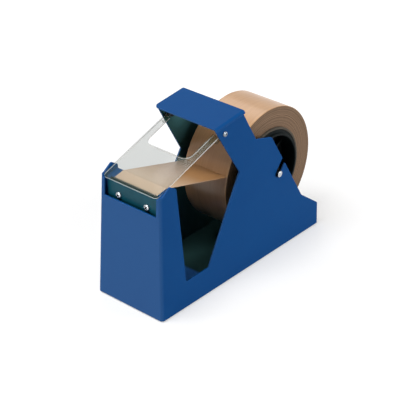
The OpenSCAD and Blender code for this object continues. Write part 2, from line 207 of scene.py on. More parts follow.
def aim(thing: Object, place: Triple, target: Triple) -> None:
    """Places a camera or lamp and turns it to a target, both in metres."""
    thing.location = place
    thing.rotation_euler = (Vector(target) - Vector(place)).to_track_quat("-Z", "Y").to_euler()


def rounded(corners: Sequence[Sequence[float]]) -> list[Pair]:
    """Rounds the corners of a flat outline.

    Args:
        corners: Corners as (u, v) or (u, v, radius), in order.

    Returns:
        Points of the outline, in the same order.
    """
    points: list[Pair] = []
    count = len(corners)
    for i, corner in enumerate(corners):
        tip = Vector(corner[:2])
        radius = corner[2] if len(corner) > 2 else 0.0
        if radius == 0.0:
            points.append((corner[0], corner[1]))
            continue
        back = (Vector(corners[i - 1][:2]) - tip).normalized()
        ahead = (Vector(corners[(i + 1) % count][:2]) - tip).normalized()
        half = math.acos(max(-1.0, min(1.0, back.dot(ahead)))) / 2
        centre = tip + (back + ahead).normalized() * (radius / math.sin(half))
        first = tip + back * (radius / math.tan(half)) - centre
        last = tip + ahead * (radius / math.tan(half)) - centre
        start = math.atan2(first.y, first.x)
        sweep = (math.atan2(last.y, last.x) - start + 3 * math.pi) % (2 * math.pi) - math.pi
        steps = max(3, math.ceil(abs(sweep) / ARC_STEP))
        for k in range(steps + 1):
            turn = start + sweep * k / steps
            points.append((centre.x + radius * math.cos(turn), centre.y + radius * math.sin(turn)))
    return points


def placed(origin: Vector, axis: Sequence[float]) -> Matrix:
    """Places millimetres about a local Z axis in the CAD frame.

    Args:
        origin: Where the local origin goes, in metres.
        axis: Direction of the local Z axis.

    Returns:
        The placing matrix, which also turns millimetres into metres.
    """
    turn = Vector(axis).to_track_quat("Z", "Y").to_matrix().to_4x4()
    return Matrix.Translation(origin) @ turn @ Matrix.Scale(MM, 4)


def lathe(
    mesh: Mesh, profile: Sequence[Pair], place: Matrix, steps: int, ring: bool = False
) -> list[bmesh.types.BMFace]:
    """Turns a profile about the local Z axis.

    Args:
        mesh: Mesh that gets the faces.
        profile: Points as (radius, height) in millimetres.
        place: Matrix from local millimetres to metres.
        steps: Facets round the axis.
        ring: Whether the last point joins the first, as in a tube.

    Returns:
        The new faces.
    """
    loops: list[list[bmesh.types.BMVert]] = []
    for radius, height in profile:
        turns = (2 * math.pi * k / steps for k in range(steps if radius > 0 else 1))
        circle = [Vector((radius * math.cos(a), radius * math.sin(a), height)) for a in turns]
        loops.append([mesh.verts.new(place @ point) for point in circle])
    faces: list[bmesh.types.BMFace] = []
    pairs = list(zip(loops, loops[1:])) + ([(loops[-1], loops[0])] if ring else [])
    for low, high in pairs:
        for k in range(steps):
            one, two = k, k + 1
            corners = [low[one % len(low)], low[two % len(low)], high[two % len(high)], high[one % len(high)]]
            unique = list(dict.fromkeys(corners))
            if len(unique) > 2:
                faces.append(mesh.faces.new(unique))
    return faces


def box(mesh: Mesh, low: Sequence[float], high: Sequence[float], place: Matrix, draft: float = 0.0) -> None:
    """Adds a box whose lower end is drawn in, as a moulded or punched form is.

    Args:
        mesh: Mesh that gets the faces.
        low: Lowest corner in local millimetres.
        high: Highest corner in local millimetres.
        place: Matrix from local millimetres to metres.
        draft: How far each side is drawn in at the lower end.
    """
    corners = []
    for z, inset in ((low[2], draft), (high[2], 0.0)):
        left, right = low[0] + inset, high[0] - inset
        front, back = low[1] + inset, high[1] - inset
        for x, y in ((left, front), (right, front), (right, back), (left, back)):
            corners.append(mesh.verts.new(place @ Vector((x, y, z))))
    for ring in ((3, 2, 1, 0), (4, 5, 6, 7), (0, 1, 5, 4), (1, 2, 6, 5), (2, 3, 7, 6), (3, 0, 4, 7)):
        mesh.faces.new([corners[i] for i in ring])


def round_edges(mesh: Mesh, edges: Sequence[bmesh.types.BMEdge], radius: float, steps: int = 3) -> None:
    """Rounds edges of a mesh.

    Args:
        mesh: Mesh with the edges.
        edges: Edges to round.
        radius: Radius in metres.
        steps: Facets across each rounded edge.
    """
    bmesh.ops.bevel(
        mesh, geom=list(edges), offset=radius, offset_type="OFFSET", segments=steps, profile=0.5,
        affect="EDGES", clamp_overlap=True,
    )


def sharp_edges(mesh: Mesh) -> list[bmesh.types.BMEdge]:
    """Returns the sharp edges of a mesh."""
    return [e for e in mesh.edges if e.is_manifold and e.calc_face_angle(0.0) > SHARP_ANGLE]


def to_data(mesh: Mesh, name: str) -> bpy.types.Mesh:
    """Turns a mesh in the making into mesh data, and frees it.

    Args:
        mesh: Mesh in the making.
        name: Name of the data.

    Returns:
        The mesh data.
    """
    data = bpy.data.meshes.new(name)
    mesh.to_mesh(data)
    mesh.free()
    return data


def absorb(mesh: Mesh, other: Mesh) -> None:
    """Adds another mesh's faces to a mesh as they are, and frees the other.

    Args:
        mesh: Mesh that gets the faces.
        other: Mesh that has them.
    """
    data = to_data(other, "other")
    mesh.from_mesh(data)
    bpy.data.meshes.remove(data)


def combine(first: Mesh, second: Mesh, how: Join) -> Mesh:
    """Joins or cuts one closed mesh with another, and frees both.

    Args:
        first: Mesh that is kept.
        second: Mesh that is joined to it or cut from it.
        how: Join.ADD or Join.CUT.

    Returns:
        The combined mesh.
    """
    solids = []
    for mesh in (first, second):
        bmesh.ops.recalc_face_normals(mesh, faces=mesh.faces)
        solids.append(in_scene("solid", to_data(mesh, "solid")))
    modifier = solids[0].modifiers.new("combine", "BOOLEAN")
    modifier.operation = how.value
    modifier.solver = "EXACT"
    modifier.object = solids[1]
    result = bmesh.new()
    result.from_object(solids[0], bpy.context.evaluated_depsgraph_get())
    for solid in solids:
        data = solid.data
        bpy.data.objects.remove(solid)
        bpy.data.meshes.remove(data)
    return result


@dataclass
class FoldedSheet:
    """The outer skin of a folded sheet, thickened inwards and rounded along its cut edges.

    Attributes:
        thickness: Thickness of the sheet in metres.
        edge: Radius of its cut edges in metres.
        outer: Points of the outer skin.
        inner: Points of the inner skin.
        faces: Faces of the skin as point numbers.
        welds: Edges of the skin where another sheet goes on, which stay square.
    """

    thickness: float
    edge: float
    outer: list[Vector] = field(default_factory=list)
    inner: list[Vector] = field(default_factory=list)
    faces: list[list[int]] = field(default_factory=list)
    welds: set[frozenset[int]] = field(default_factory=set)

    def point(self, place: Vector, normal: Vector) -> int:
        """Adds a point of the skin.

        Args:
            place: Where it is.
            normal: Outward direction there.

        Returns:
            Its number.
        """
        self.outer.append(place)
        self.inner.append(place - normal * self.thickness)
        return len(self.outer) - 1

    def flat(self, places: Sequence[Vector], normal: Vector) -> list[int]:
        """Adds a flat face.

        Args:
            places: Its outline.
            normal: Its outward direction.

        Returns:
            Numbers of its points.
        """
        numbers = [self.point(p, normal) for p in places]
        self.faces.append(numbers)
        return numbers

    def fold(self, line: Sequence[int], start: Vector, end: Vector, radius: float, steps: int = 8) -> list[int]:
        """Rolls a fold on from an edge of the skin.

        Args:
            line: Point numbers along the edge.
            start: Outward direction at the edge.
            end: Outward direction after the fold.
            radius: Outer radius in metres.
            steps: Facets across the fold.

        Returns:
            Numbers of the points where the fold ends.
        """
        axes = [self.outer[n] - start * radius for n in line]
        last = list(line)
        for k in range(1, steps + 1):
            normal = start.slerp(end, k / steps)
            row = [self.point(axis + normal * radius, normal) for axis in axes]
            for i in range(len(row) - 1):
                self.faces.append([last[i], row[i], row[i + 1], last[i + 1]])
            last = row
        return last

    def weld(self, line: Sequence[int]) -> None:
        """Marks an edge line where another sheet goes on."""
        self.welds.update(frozenset(pair) for pair in zip(line, line[1:]))

    def mesh(self) -> Mesh:
        """Thickens the skin and rounds its free edges.

        Returns:
            The closed mesh.
        """
        made = bmesh.new()
        outer = [made.verts.new(p) for p in self.outer]
        inner = [made.verts.new(p) for p in self.inner]
        uses: dict[frozenset[int], int] = {}
        for face in self.faces:
            made.faces.new([outer[i] for i in face])
            made.faces.new([inner[i] for i in reversed(face)])
            for pair in zip(face, face[1:] + face[:1]):
                uses[frozenset(pair)] = uses.get(frozenset(pair), 0) + 1
        rims = []
        for pair, count in uses.items():
            if count > 1:
                continue
            a, b = pair
            made.faces.new([outer[a], outer[b], inner[b], inner[a]])
            if pair not in self.welds:
                rims.append(made.edges.get((outer[a], outer[b])))
                rims.append(made.edges.get((inner[a], inner[b])))
        bmesh.ops.recalc_face_normals(made, faces=made.faces)
        if self.edge > 0:
            round_edges(made, rims, self.edge)
        return made


# Finishes


@dataclass(frozen=True)
class Finish:
    """A surface finish, whose material is made on first use.

    Attributes:
        name: Common name and making of the material.
        slot: Slot of the record that it belongs to; not used.
        colour: Main colour, sRGB.
        roughness: Mean roughness.
    """

    name: str
    slot: Slot
    colour: str
    roughness: float

    def material(self) -> bpy.types.Material:
        """Makes the material, or finds it where it is already made.

        Returns:
            The finish's material.
        """
        known = bpy.data.materials.get(self.name)
        if known is not None:
            return known
        made = bpy.data.materials.new(self.name)
        tree = fresh_tree(made)
        plain = {"Base Color": linear(self.colour), "Roughness": self.roughness}
        surface = add_node(tree, "BsdfPrincipled", plain)
        add_node(tree, "OutputMaterial", {"Surface": surface})
        self.dress(tree, surface.node, add_node(tree, "TexCoord").node.outputs["Object"])
        return made

    def dress(self, tree: Tree, shader: Node, place: Socket) -> None:
        """Adds the finish's own pattern.

        Args:
            tree: Node tree of the material.
            shader: Its surface shader.
            place: Socket with the place in the piece, in metres.
        """
        raise NotImplementedError

    def fade(self, shader: Node, place: Socket, colour: str, stations: Pair) -> None:
        """Fades the finish's colour into another along the stand.

        Args:
            shader: The material's surface shader, whose colour is linked already.
            place: Socket with the place in the piece, in metres.
            colour: Colour that it fades into, sRGB.
            stations: Stations where the fading starts and ends, in millimetres.
        """
        tree, before = shader.id_data, shader.inputs["Base Color"].links[0].from_socket
        start, end = (station(0.0, y, 0.0).y for y in stations)
        along = add_node(tree, "SeparateXYZ", {"Vector": place}).node.outputs["Y"]
        share = add_node(tree, "MapRange", {"Value": along, "From Min": start, "From Max": end})
        faded = add_node(tree, "Mix", {0: share, 6: before, 7: linear(colour)}, data_type="RGBA")
        feed(shader, {"Base Color": faded})


@dataclass(frozen=True)
class Grained(Finish):
    """A finish with wide clouds in its tone, and a fine grain in its gloss and its relief.

    Attributes:
        cloud: Colour of the clouds.
        cloud_w: Width of the clouds in millimetres.
        ragged: How ragged the clouds are.
        grain: Width of the grain in millimetres, drawn as coarse as it needs to show.
        relief: Strength and depth of the grain's relief, the depth in millimetres.
        swing: How far the roughness strays from its mean.
        shine: Specular level, low because the grain scatters most of the light.
    """

    cloud: str = "#808080"
    cloud_w: float = 12.0
    ragged: float = 0.5
    grain: float = 1.0
    relief: Pair = (0.2, 0.08)
    swing: float = 0.08
    shine: float = 0.25

    def dress(self, tree: Tree, shader: Node, place: Socket) -> None:
        """Adds the clouds and the grain.

        Args:
            tree: Node tree of the material.
            shader: Its surface shader.
            place: Socket with the place in the piece, in metres.
        """
        cloudy = {"Scale": per_metre(self.cloud_w), "Detail": 4.0, "Roughness": self.ragged, "Vector": place}
        clouds = add_node(tree, "TexNoise", cloudy)
        tones = {0: clouds, 6: linear(self.colour), 7: linear(self.cloud)}
        toned = add_node(tree, "Mix", tones, data_type="RGBA")
        grain = add_node(tree, "TexNoise", {"Scale": per_metre(self.grain), "Detail": 2.0, "Vector": place})
        low, high = self.roughness - self.swing, self.roughness + self.swing
        gloss = add_node(tree, "MapRange", {"Value": grain, "To Min": low, "To Max": high})
        strength, depth = self.relief
        skin = add_node(tree, "Bump", {"Strength": strength, "Distance": depth * MM, "Height": grain})
        feed(shader, {"Specular IOR Level": self.shine, "Base Color": toned, "Roughness": gloss, "Normal": skin})


@dataclass(frozen=True)
class MouldedPlastic(Grained):
    """Moulded plastic or rubber with a fine spark-eroded grain from its tool, which dulls its gloss.

    It is rubbed paler in patches. Its grain of about 0.1 mm is drawn at about 1 mm so that it shows at
    this size.
    """

    cloud: str = "#121617"


@dataclass(frozen=True)
class PowderCoat(Grained):
    """Polyester powder baked on steel sheet.

    The powder flows into a satin skin with a faint orange peel, which breaks up reflections, and is a
    little cloudy in tone. Its cut edges are painted lighter, partly where the skin is drawn thin over
    them and partly as a painted highlight. Faces turned to the front get a pale haze, a painted sheen
    of reflected light. Its orange peel of about 1 mm is drawn at 2.5 mm so that it shows at this size.

    Attributes:
        edge: Colour over cut edges, partly a painted highlight.
        edge_w: Width over which the skin thins and the highlight is painted at an edge, in millimetres.
        haze: Colour of the painted sheen on the front.
        front_sheen: Share of the painted sheen on the front.
    """

    cloud: str = "#0B427C"
    cloud_w: float = 28.0
    ragged: float = 0.6
    grain: float = 2.5
    relief: Pair = (0.12, 0.1)
    swing: float = 0.06
    shine: float = 0.03
    # Lighter colour over edges, partly a painted highlight
    edge: str = "#2C60A0"
    edge_w: float = 0.7
    # Colour and share of the pale haze on the front, a painted sheen
    haze: str = "#90B5E1"
    front_sheen: float = 0.09

    def dress(self, tree: Tree, shader: Node, place: Socket) -> None:
        """Adds the cloudy skin with its orange peel, the painted sheen on the front and the edges painted lighter.

        Args:
            tree: Node tree of the material.
            shader: Its surface shader.
            place: Socket with the place in the piece, in metres.
        """
        super().dress(tree, shader, place)
        toned = shader.inputs["Base Color"].links[0].from_socket
        # Faces turned to the front get a pale haze, a painted sheen of reflected light
        outward = add_node(tree, "TexCoord").node.outputs["Normal"]
        turned = add_node(tree, "VectorMath", {0: outward, 1: (0.0, -1.0, 0.0)}, operation="DOT_PRODUCT")
        front = add_node(tree, "MapRange", {"Value": turned, "To Max": self.front_sheen})
        front_sheened = add_node(tree, "Mix", {0: front, 6: toned, 7: linear(self.haze)}, data_type="RGBA")
        # Edges are painted lighter, partly where the skin is thin and partly as a painted highlight
        softened = add_node(tree, "Bevel", {"Radius": self.edge_w * MM}, samples=4)
        facing = add_node(tree, "NewGeometry").node.outputs["Normal"]
        agree = add_node(tree, "VectorMath", {0: softened, 1: facing}, operation="DOT_PRODUCT")
        bent = {"Value": agree, "From Min": 0.98, "From Max": 0.75, "To Min": 0.0, "To Max": 0.45}
        thin = add_node(tree, "MapRange", bent)
        coated = add_node(tree, "Mix", {0: thin, 6: front_sheened, 7: linear(self.edge)}, data_type="RGBA")
        feed(shader, {"Base Color": coated})


@dataclass(frozen=True)
class ShadeFadedCoat(PowderCoat):
    """The same powder, faded further back into a grey-green that paints the deep shade in the stand.

    The further back a face lies, the more of the grey-green painted shade it takes.

    Attributes:
        shade_tint: Colour of the painted shade.
        depth: Stations where the painted shade starts and where it is full, in millimetres.
    """

    # Grey-green painted shade, taken further back in the stand
    shade_tint: str = "#3A6468"
    depth: Pair = (64.0, 80.0)

    def dress(self, tree: Tree, shader: Node, place: Socket) -> None:
        """Adds the coat and fades it into the painted shade further back."""
        super().dress(tree, shader, place)
        self.fade(shader, place, self.shade_tint, self.depth)


@dataclass(frozen=True)
class PlatedSteel(Finish):
    """Zinc or nickel plated steel, which mirrors the room with a faint spangle and handling haze.

    Attributes:
        spangle: Size of the spangles in millimetres.
        haze: Colour of the duller patches.
        haze_w: Width of the duller patches in millimetres.
        swing: How far its roughness strays from the mean, down and up.
    """

    spangle: float = 1.2
    haze: str = "#9EA3A8"
    haze_w: float = 4.0
    swing: Pair = (-0.05, 0.1)

    def dress(self, tree: Tree, shader: Node, place: Socket) -> None:
        """Adds spangles to the roughness and haze to the colour.

        Args:
            tree: Node tree of the material.
            shader: Its surface shader.
            place: Socket with the place in the piece, in metres.
        """
        cells = add_node(tree, "TexVoronoi", {"Scale": per_metre(self.spangle), "Vector": place})
        haze = add_node(tree, "TexNoise", {"Scale": per_metre(self.haze_w), "Detail": 3.0, "Vector": place})
        tones = {0: haze, 6: linear(self.colour), 7: linear(self.haze)}
        toned = add_node(tree, "Mix", tones, data_type="RGBA")
        low, high = (self.roughness + change for change in self.swing)
        gloss = add_node(tree, "MapRange", {"Value": cells, "From Max": 0.8, "To Min": low, "To Max": high})
        feed(shader, {"Metallic": 1.0, "Base Color": toned, "Roughness": gloss})


@dataclass(frozen=True)
class Streaked(Finish):
    """A finish with streaks in one direction, in its tone and its relief.

    Attributes:
        streak: Colour of the streaks.
        width: Width of the streaks in millimetres, drawn as coarse as they need to show.
        stretch: Their scale along each axis, small along the streaks.
        detail: Levels of finer streaks.
        relief: Strength and depth of the relief, the depth in millimetres.
    """

    streak: str = "#808080"
    width: float = 1.0
    stretch: Triple = (1.0, 1.0, 1.0)
    detail: float = 3.0
    relief: Pair = (0.1, 0.1)

    def streaks(self, tree: Tree, shader: Node, place: Socket) -> Socket:
        """Adds the streaks' pattern and its relief.

        Args:
            tree: Node tree of the material.
            shader: Its surface shader.
            place: Socket with the place in the piece, in metres.

        Returns:
            Socket with the pattern.
        """
        drawn = add_node(tree, "Mapping", {"Vector": place, "Scale": self.stretch})
        fine = {"Vector": drawn, "Scale": per_metre(self.width), "Detail": self.detail}
        lines = add_node(tree, "TexNoise", fine)
        strength, depth = self.relief
        skin = add_node(tree, "Bump", {"Strength": strength, "Distance": depth * MM, "Height": lines})
        feed(shader, {"Normal": skin})
        return lines

    def dress(self, tree: Tree, shader: Node, place: Socket) -> None:
        """Adds the streaks to the relief and the colour.

        Args:
            tree: Node tree of the material.
            shader: Its surface shader.
            place: Socket with the place in the piece, in metres.
        """
        lines = self.streaks(tree, shader, place)
        tones = {0: lines, 6: linear(self.colour), 7: linear(self.streak)}
        feed(shader, {"Base Color": add_node(tree, "Mix", tones, data_type="RGBA")})


@dataclass(frozen=True)
class GroundSteel(Streaked):
    """Hardened spring steel, blued and then ground along its teeth.

    The grinding leaves brighter upright scratches, which draw the light out sideways. Its grit lines of
    about 0.05 mm are drawn at 0.6 mm so that they show at this size.
    """

    streak: str = "#24292B"
    width: float = 0.6
    stretch: Triple = (1.0, 1.0, 0.08)
    relief: Pair = (0.15, 0.05)

    def dress(self, tree: Tree, shader: Node, place: Socket) -> None:
        """Adds the scratches to bare metal."""
        feed(shader, {"Metallic": 1.0})
        super().dress(tree, shader, place)


@dataclass(frozen=True)
class Enamel(Finish):
    """Stoved enamel on the clamp plate: a dark, half-matt skin with slight unevenness.

    Attributes:
        cloud: Colour of its lighter clouds.
        cloud_w: Width of the clouds in millimetres.
        shine: Specular level, low because the skin is half matt.
    """

    cloud: str = "#0E505F"
    cloud_w: float = 9.0
    shine: float = 0.15

    def dress(self, tree: Tree, shader: Node, place: Socket) -> None:
        """Adds clouds and a wavy skin.

        Args:
            tree: Node tree of the material.
            shader: Its surface shader.
            place: Socket with the place in the piece, in metres.
        """
        clouds = add_node(tree, "TexNoise", {"Scale": per_metre(self.cloud_w), "Detail": 3.0, "Vector": place})
        tones = {0: clouds, 6: linear(self.colour), 7: linear(self.cloud)}
        toned = add_node(tree, "Mix", tones, data_type="RGBA")
        skin = add_node(tree, "Bump", {"Strength": 0.1, "Distance": 0.1 * MM, "Height": clouds})
        feed(shader, {"Specular IOR Level": self.shine, "Base Color": toned, "Normal": skin})


@dataclass(frozen=True)
class ClearSheet(Finish):
    """Cast acrylic: clear with a faint grey-green body colour, and polished faces with slight smears.

    The sheet is thin, so it hardly bends the view: each face only holds back a share of what is behind.
    A pale haze round the foot of the near arm is a painted sheen of reflected light.

    Attributes:
        cover: Share of the view that one face holds back.
        smear: Added roughness of its smears.
        smear_w: Width of the smears in millimetres.
        haze: Colour of the painted sheen.
        sheen_centre: Place across, station and height of the middle of the painted sheen in millimetres.
        spread: Distance in millimetres at which the painted sheen has faded out.
        ior: Index of refraction of acrylic.
    """

    cover: float = 0.215
    smear: float = 0.06
    smear_w: float = 14.0
    haze: str = "#B3B7B5"
    sheen_centre: Triple = (27.0, 31.8, 126.2)
    spread: float = 23.0
    ior: float = 1.49

    def dress(self, tree: Tree, shader: Node, place: Socket) -> None:
        """Makes the sheet clear and adds smears and the painted sheen.

        Args:
            tree: Node tree of the material.
            shader: Its surface shader.
            place: Socket with the place in the piece, in metres.
        """
        smears = add_node(tree, "TexNoise", {"Scale": per_metre(self.smear_w), "Detail": 3.0, "Vector": place})
        low, high = self.roughness, self.roughness + self.smear
        gloss = add_node(tree, "MapRange", {"Value": smears, "To Min": low, "To Max": high})
        # A pale painted sheen of reflected light, fading out from round the foot of the near arm
        away = add_node(tree, "VectorMath", {0: place, 1: station(*self.sheen_centre)}, operation="DISTANCE")
        share = add_node(tree, "MapRange", {"Value": away, "From Min": self.spread * MM, "From Max": 0.0})
        tones = {0: share, 6: linear(self.colour), 7: linear(self.haze)}
        toned = add_node(tree, "Mix", tones, data_type="RGBA")
        feed(shader, {"Alpha": self.cover, "IOR": self.ior, "Base Color": toned, "Roughness": gloss})


@dataclass(frozen=True)
class WoundCard(Streaked):
    """Grey board wound in a spiral tube: matt, with darker fibres along its turns.

    Its fibres of about 0.2 mm are drawn at 0.8 mm so that they show at this size.
    """

    streak: str = "#383127"
    width: float = 0.8
    stretch: Triple = (1.0, 0.25, 0.25)
    detail: float = 4.0
    relief: Pair = (0.3, 0.1)


@dataclass(frozen=True)
class TapeFilm(Streaked):
    """Buff polypropylene packing film with a release coat, which mirrors the tent as a pale sheen.

    Stretching leaves faint darker draw lines along it. They are about 0.3 mm wide and are drawn at
    1.5 mm so that they show at this size.

    Attributes:
        shine: Specular level of the film.
        coat: Weight of the release coat.
        coat_rough: Roughness of the release coat.
    """

    streak: str = "#A57B54"
    width: float = 1.5
    stretch: Triple = (1.0, 0.04, 0.04)
    relief: Pair = (0.08, 0.1)
    shine: float = 0.45
    coat: float = 0.12
    coat_rough: float = 0.25

    def dress(self, tree: Tree, shader: Node, place: Socket) -> None:
        """Adds the release coat's gloss and draw lines along the tape.

        Args:
            tree: Node tree of the material.
            shader: Its surface shader.
            place: Socket with the place in the piece, in metres.
        """
        gloss = {"Specular IOR Level": self.shine, "Coat Weight": self.coat, "Coat Roughness": self.coat_rough}
        lines = self.streaks(tree, shader, place)
        share = add_node(tree, "MapRange", {"Value": lines, "From Min": 0.3, "From Max": 0.7, "To Max": 0.5})
        tones = {0: share, 6: linear(self.colour), 7: linear(self.streak)}
        feed(shader, {**gloss, "Base Color": add_node(tree, "Mix", tones, data_type="RGBA")})


@dataclass(frozen=True)
class TautFilm(TapeFilm):
    """One taut layer of the film, painted paler in front, where it is lit, and darker by the roll, where it lies
    in the hood's shade.

    Attributes:
        pale: Colour of the painted light in front.
        paled: Stations where the painted light starts, from the roll forwards, and where it is full, in
            millimetres.
    """

    # Pale colour of the lit front, painted light
    pale: str = "#D6B695"
    paled: Pair = (70.0, 30.0)

    def dress(self, tree: Tree, shader: Node, place: Socket) -> None:
        """Adds the film's own pattern and the painted light towards the front."""
        super().dress(tree, shader, place)
        self.fade(shader, place, self.pale, self.paled)


@dataclass(frozen=True)
class WoundEdge(Finish):
    """Cut edges of hundreds of wound film layers: matt, darker than the face, in fine uneven rings.

    Attributes:
        gap: Colour of the darker rings.
        ring: Width of the rings in millimetres.
        shine: Specular level, low because the cut edges are matt.
    """

    gap: str = "#4E3B2C"
    ring: float = 0.7
    shine: float = 0.15

    def dress(self, tree: Tree, shader: Node, place: Socket) -> None:
        """Adds rings about the winding's axis.

        Args:
            tree: Node tree of the material.
            shader: Its surface shader.
            place: Socket with the place in the piece, in metres.
        """
        offset = add_node(tree, "VectorMath", {0: place, 1: station(0.0, *AXLE)}, operation="SUBTRACT")
        flat = add_node(tree, "VectorMath", {0: offset, 1: (0.0, 1.0, 1.0)}, operation="MULTIPLY")
        radius = add_node(tree, "VectorMath", {0: flat}, operation="LENGTH")
        # Layers are 0.05 mm thick; they are drawn in bands of several so that they show at this size
        bands = {"Scale": per_metre(self.ring), "Detail": 4.0, "Roughness": 0.7, "W": radius}
        rings = add_node(tree, "TexNoise", bands, noise_dimensions="1D")
        share = add_node(tree, "MapRange", {"Value": rings, "From Min": 0.38, "From Max": 0.62})
        tones = {0: share, 6: linear(self.colour), 7: linear(self.gap)}
        toned = add_node(tree, "Mix", tones, data_type="RGBA")
        grooves = add_node(tree, "Bump", {"Strength": 0.4, "Distance": 0.15 * MM, "Height": rings})
        feed(shader, {"Specular IOR Level": self.shine, "Base Color": toned, "Normal": grooves})


# Satin blue outside; inward faces fade further back into grey-green painted shade; the floor sheet is painted
# paler, as painted light, and turns dark behind its front part, a painted shadow
BLUE_COAT = PowderCoat("powder_coated_steel_blue", Slot.BLUE, "#0E4882", 0.42)
INSIDE_COAT = ShadeFadedCoat("powder_coated_steel_inside_shaded", Slot.BLUE, "#0E4882", 0.42)
# The floor sheet's paler blue is painted light, and its dark grey-green from station 75 back is a painted shadow
FLOOR_COAT = ShadeFadedCoat(
    "powder_coated_steel_floor_lit_and_shaded", Slot.BLUE, "#3A78C4", 0.42, cloud="#336CB4", shade_tint="#2C4A49", depth=(75.0, 78.0)
)
# Bright and worn zinc glint; blackened steel stays dark beside them, and the screws' recesses are painted dark as
# painted shade
BRIGHT_ZINC = PlatedSteel("zinc_plated_steel", Slot.STEEL, "#D8DBDE", 0.2)
DULL_ZINC = PlatedSteel("zinc_plated_steel_worn", Slot.STEEL, "#9AA2A9", 0.3, haze="#747B82")
RECESS_SHADE_STEEL = PlatedSteel("screw_recess_painted_shade", Slot.STEEL, "#2B2E31", 0.5, haze="#17191B")
BLACK_OXIDE = PlatedSteel("black_oxide_steel", Slot.STEEL, "#33373A", 0.35, haze="#1D2022")
# The blade is a dark serrated line over the deep teal clamp
BLUED_BLADE = GroundSteel("ground_spring_steel", Slot.STEEL, "#0E1112", 0.4)
TEAL_ENAMEL = Enamel("stoved_enamel_teal", Slot.DARK, "#0A3743", 0.35)
# The hub is lost in its own black; nylon and rubber are a little greyer
BLACK_ABS = MouldedPlastic("moulded_abs_black", Slot.PLASTIC, "#060B0B", 0.5, cloud="#0B1415", shine=0.06)
BLACK_NYLON = MouldedPlastic("moulded_nylon_black", Slot.PLASTIC, "#101213", 0.5, grain=0.8)
FOOT_RUBBER = MouldedPlastic("moulded_rubber_black", Slot.RUBBER, "#151515", 0.75, cloud="#242424")
# The guard greys what is behind it, with a painted sheen round the near arm; its sawn edges are frosted white
# lines brightened by a painted highlight
CLEAR_ACRYLIC = ClearSheet("cast_acrylic_clear", Slot.CLEAR, "#344A3A", 0.04)
ACRYLIC_EDGE = ClearSheet("cast_acrylic_sawn_edge_highlit", Slot.CLEAR, "#F2F5F4", 0.3, cover=0.8, haze="#E8ECEA")
# Matt grey-brown card, buff film on the roll, the strip's film painted darker and warmer by the roll and paler in
# front, as painted shade and light, and darker wound edges
GREY_BOARD = WoundCard("wound_grey_board", Slot.CARD, "#4A4236", 0.85)
BUFF_FILM = TapeFilm("polypropylene_film_buff", Slot.TAPE, "#BC9269", 0.3)
TAUT_FILM = TautFilm("polypropylene_film_taut", Slot.TAPE, "#A87B4C", 0.3, streak="#986B40", shine=0.8, coat=0.4)
FILM_EDGE = WoundEdge("wound_film_edges", Slot.TAPE, "#8E7259", 0.6)


def make_piece(name: str, mesh: Mesh, finishes: Sequence[Finish], body: Body, node: str) -> Object:
    """Turns a mesh into a piece that rides on a body in place of a CAD node.

    Args:
        name: Name of the piece.
        mesh: Its mesh, which is freed.
        finishes: Its finishes, in the order of the faces' material numbers.
        body: Body that it moves with.
        node: CAD node that it stands for.

    Returns:
        The piece.
    """
    bmesh.ops.recalc_face_normals(mesh, faces=mesh.faces)
    data = to_data(mesh, name)
    data.polygons.foreach_set("use_smooth", [True] * len(data.polygons))
    data.set_sharp_from_angle(angle=SMOOTH_ANGLE)
    for finish in finishes:
        data.materials.append(finish.material())
    piece = in_scene(name, data)
    normals = piece.modifiers.new("flat_faces", "WEIGHTED_NORMAL")
    normals.keep_sharp = True
    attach(piece, body.value)
    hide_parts(node)
    LOG.info("%s: %d faces on %s", name, len(data.polygons), body.value)
    return piece


# Sub-assemblies


@dataclass
class Assembly:
    """A sub-assembly of the dispenser.

    Attributes:
        kept: Finishes of the CAD nodes that keep their shape, by node.
    """

    kept: ClassVar[dict[str, Finish]] = {}

    def build(self) -> None:
        """Builds the sub-assembly's own pieces."""
        raise NotImplementedError

    def dress(self, nodes: dict[str, Object]) -> None:
        """Finishes the CAD nodes that keep their shape.

        Args:
            nodes: CAD nodes by name.
        """
        for name, finish in self.kept.items():
            for holder in nodes[name].material_slots:
                holder.material = finish.material()
            LOG.info("%s: keeps its CAD shape, in %s", name, finish.name)


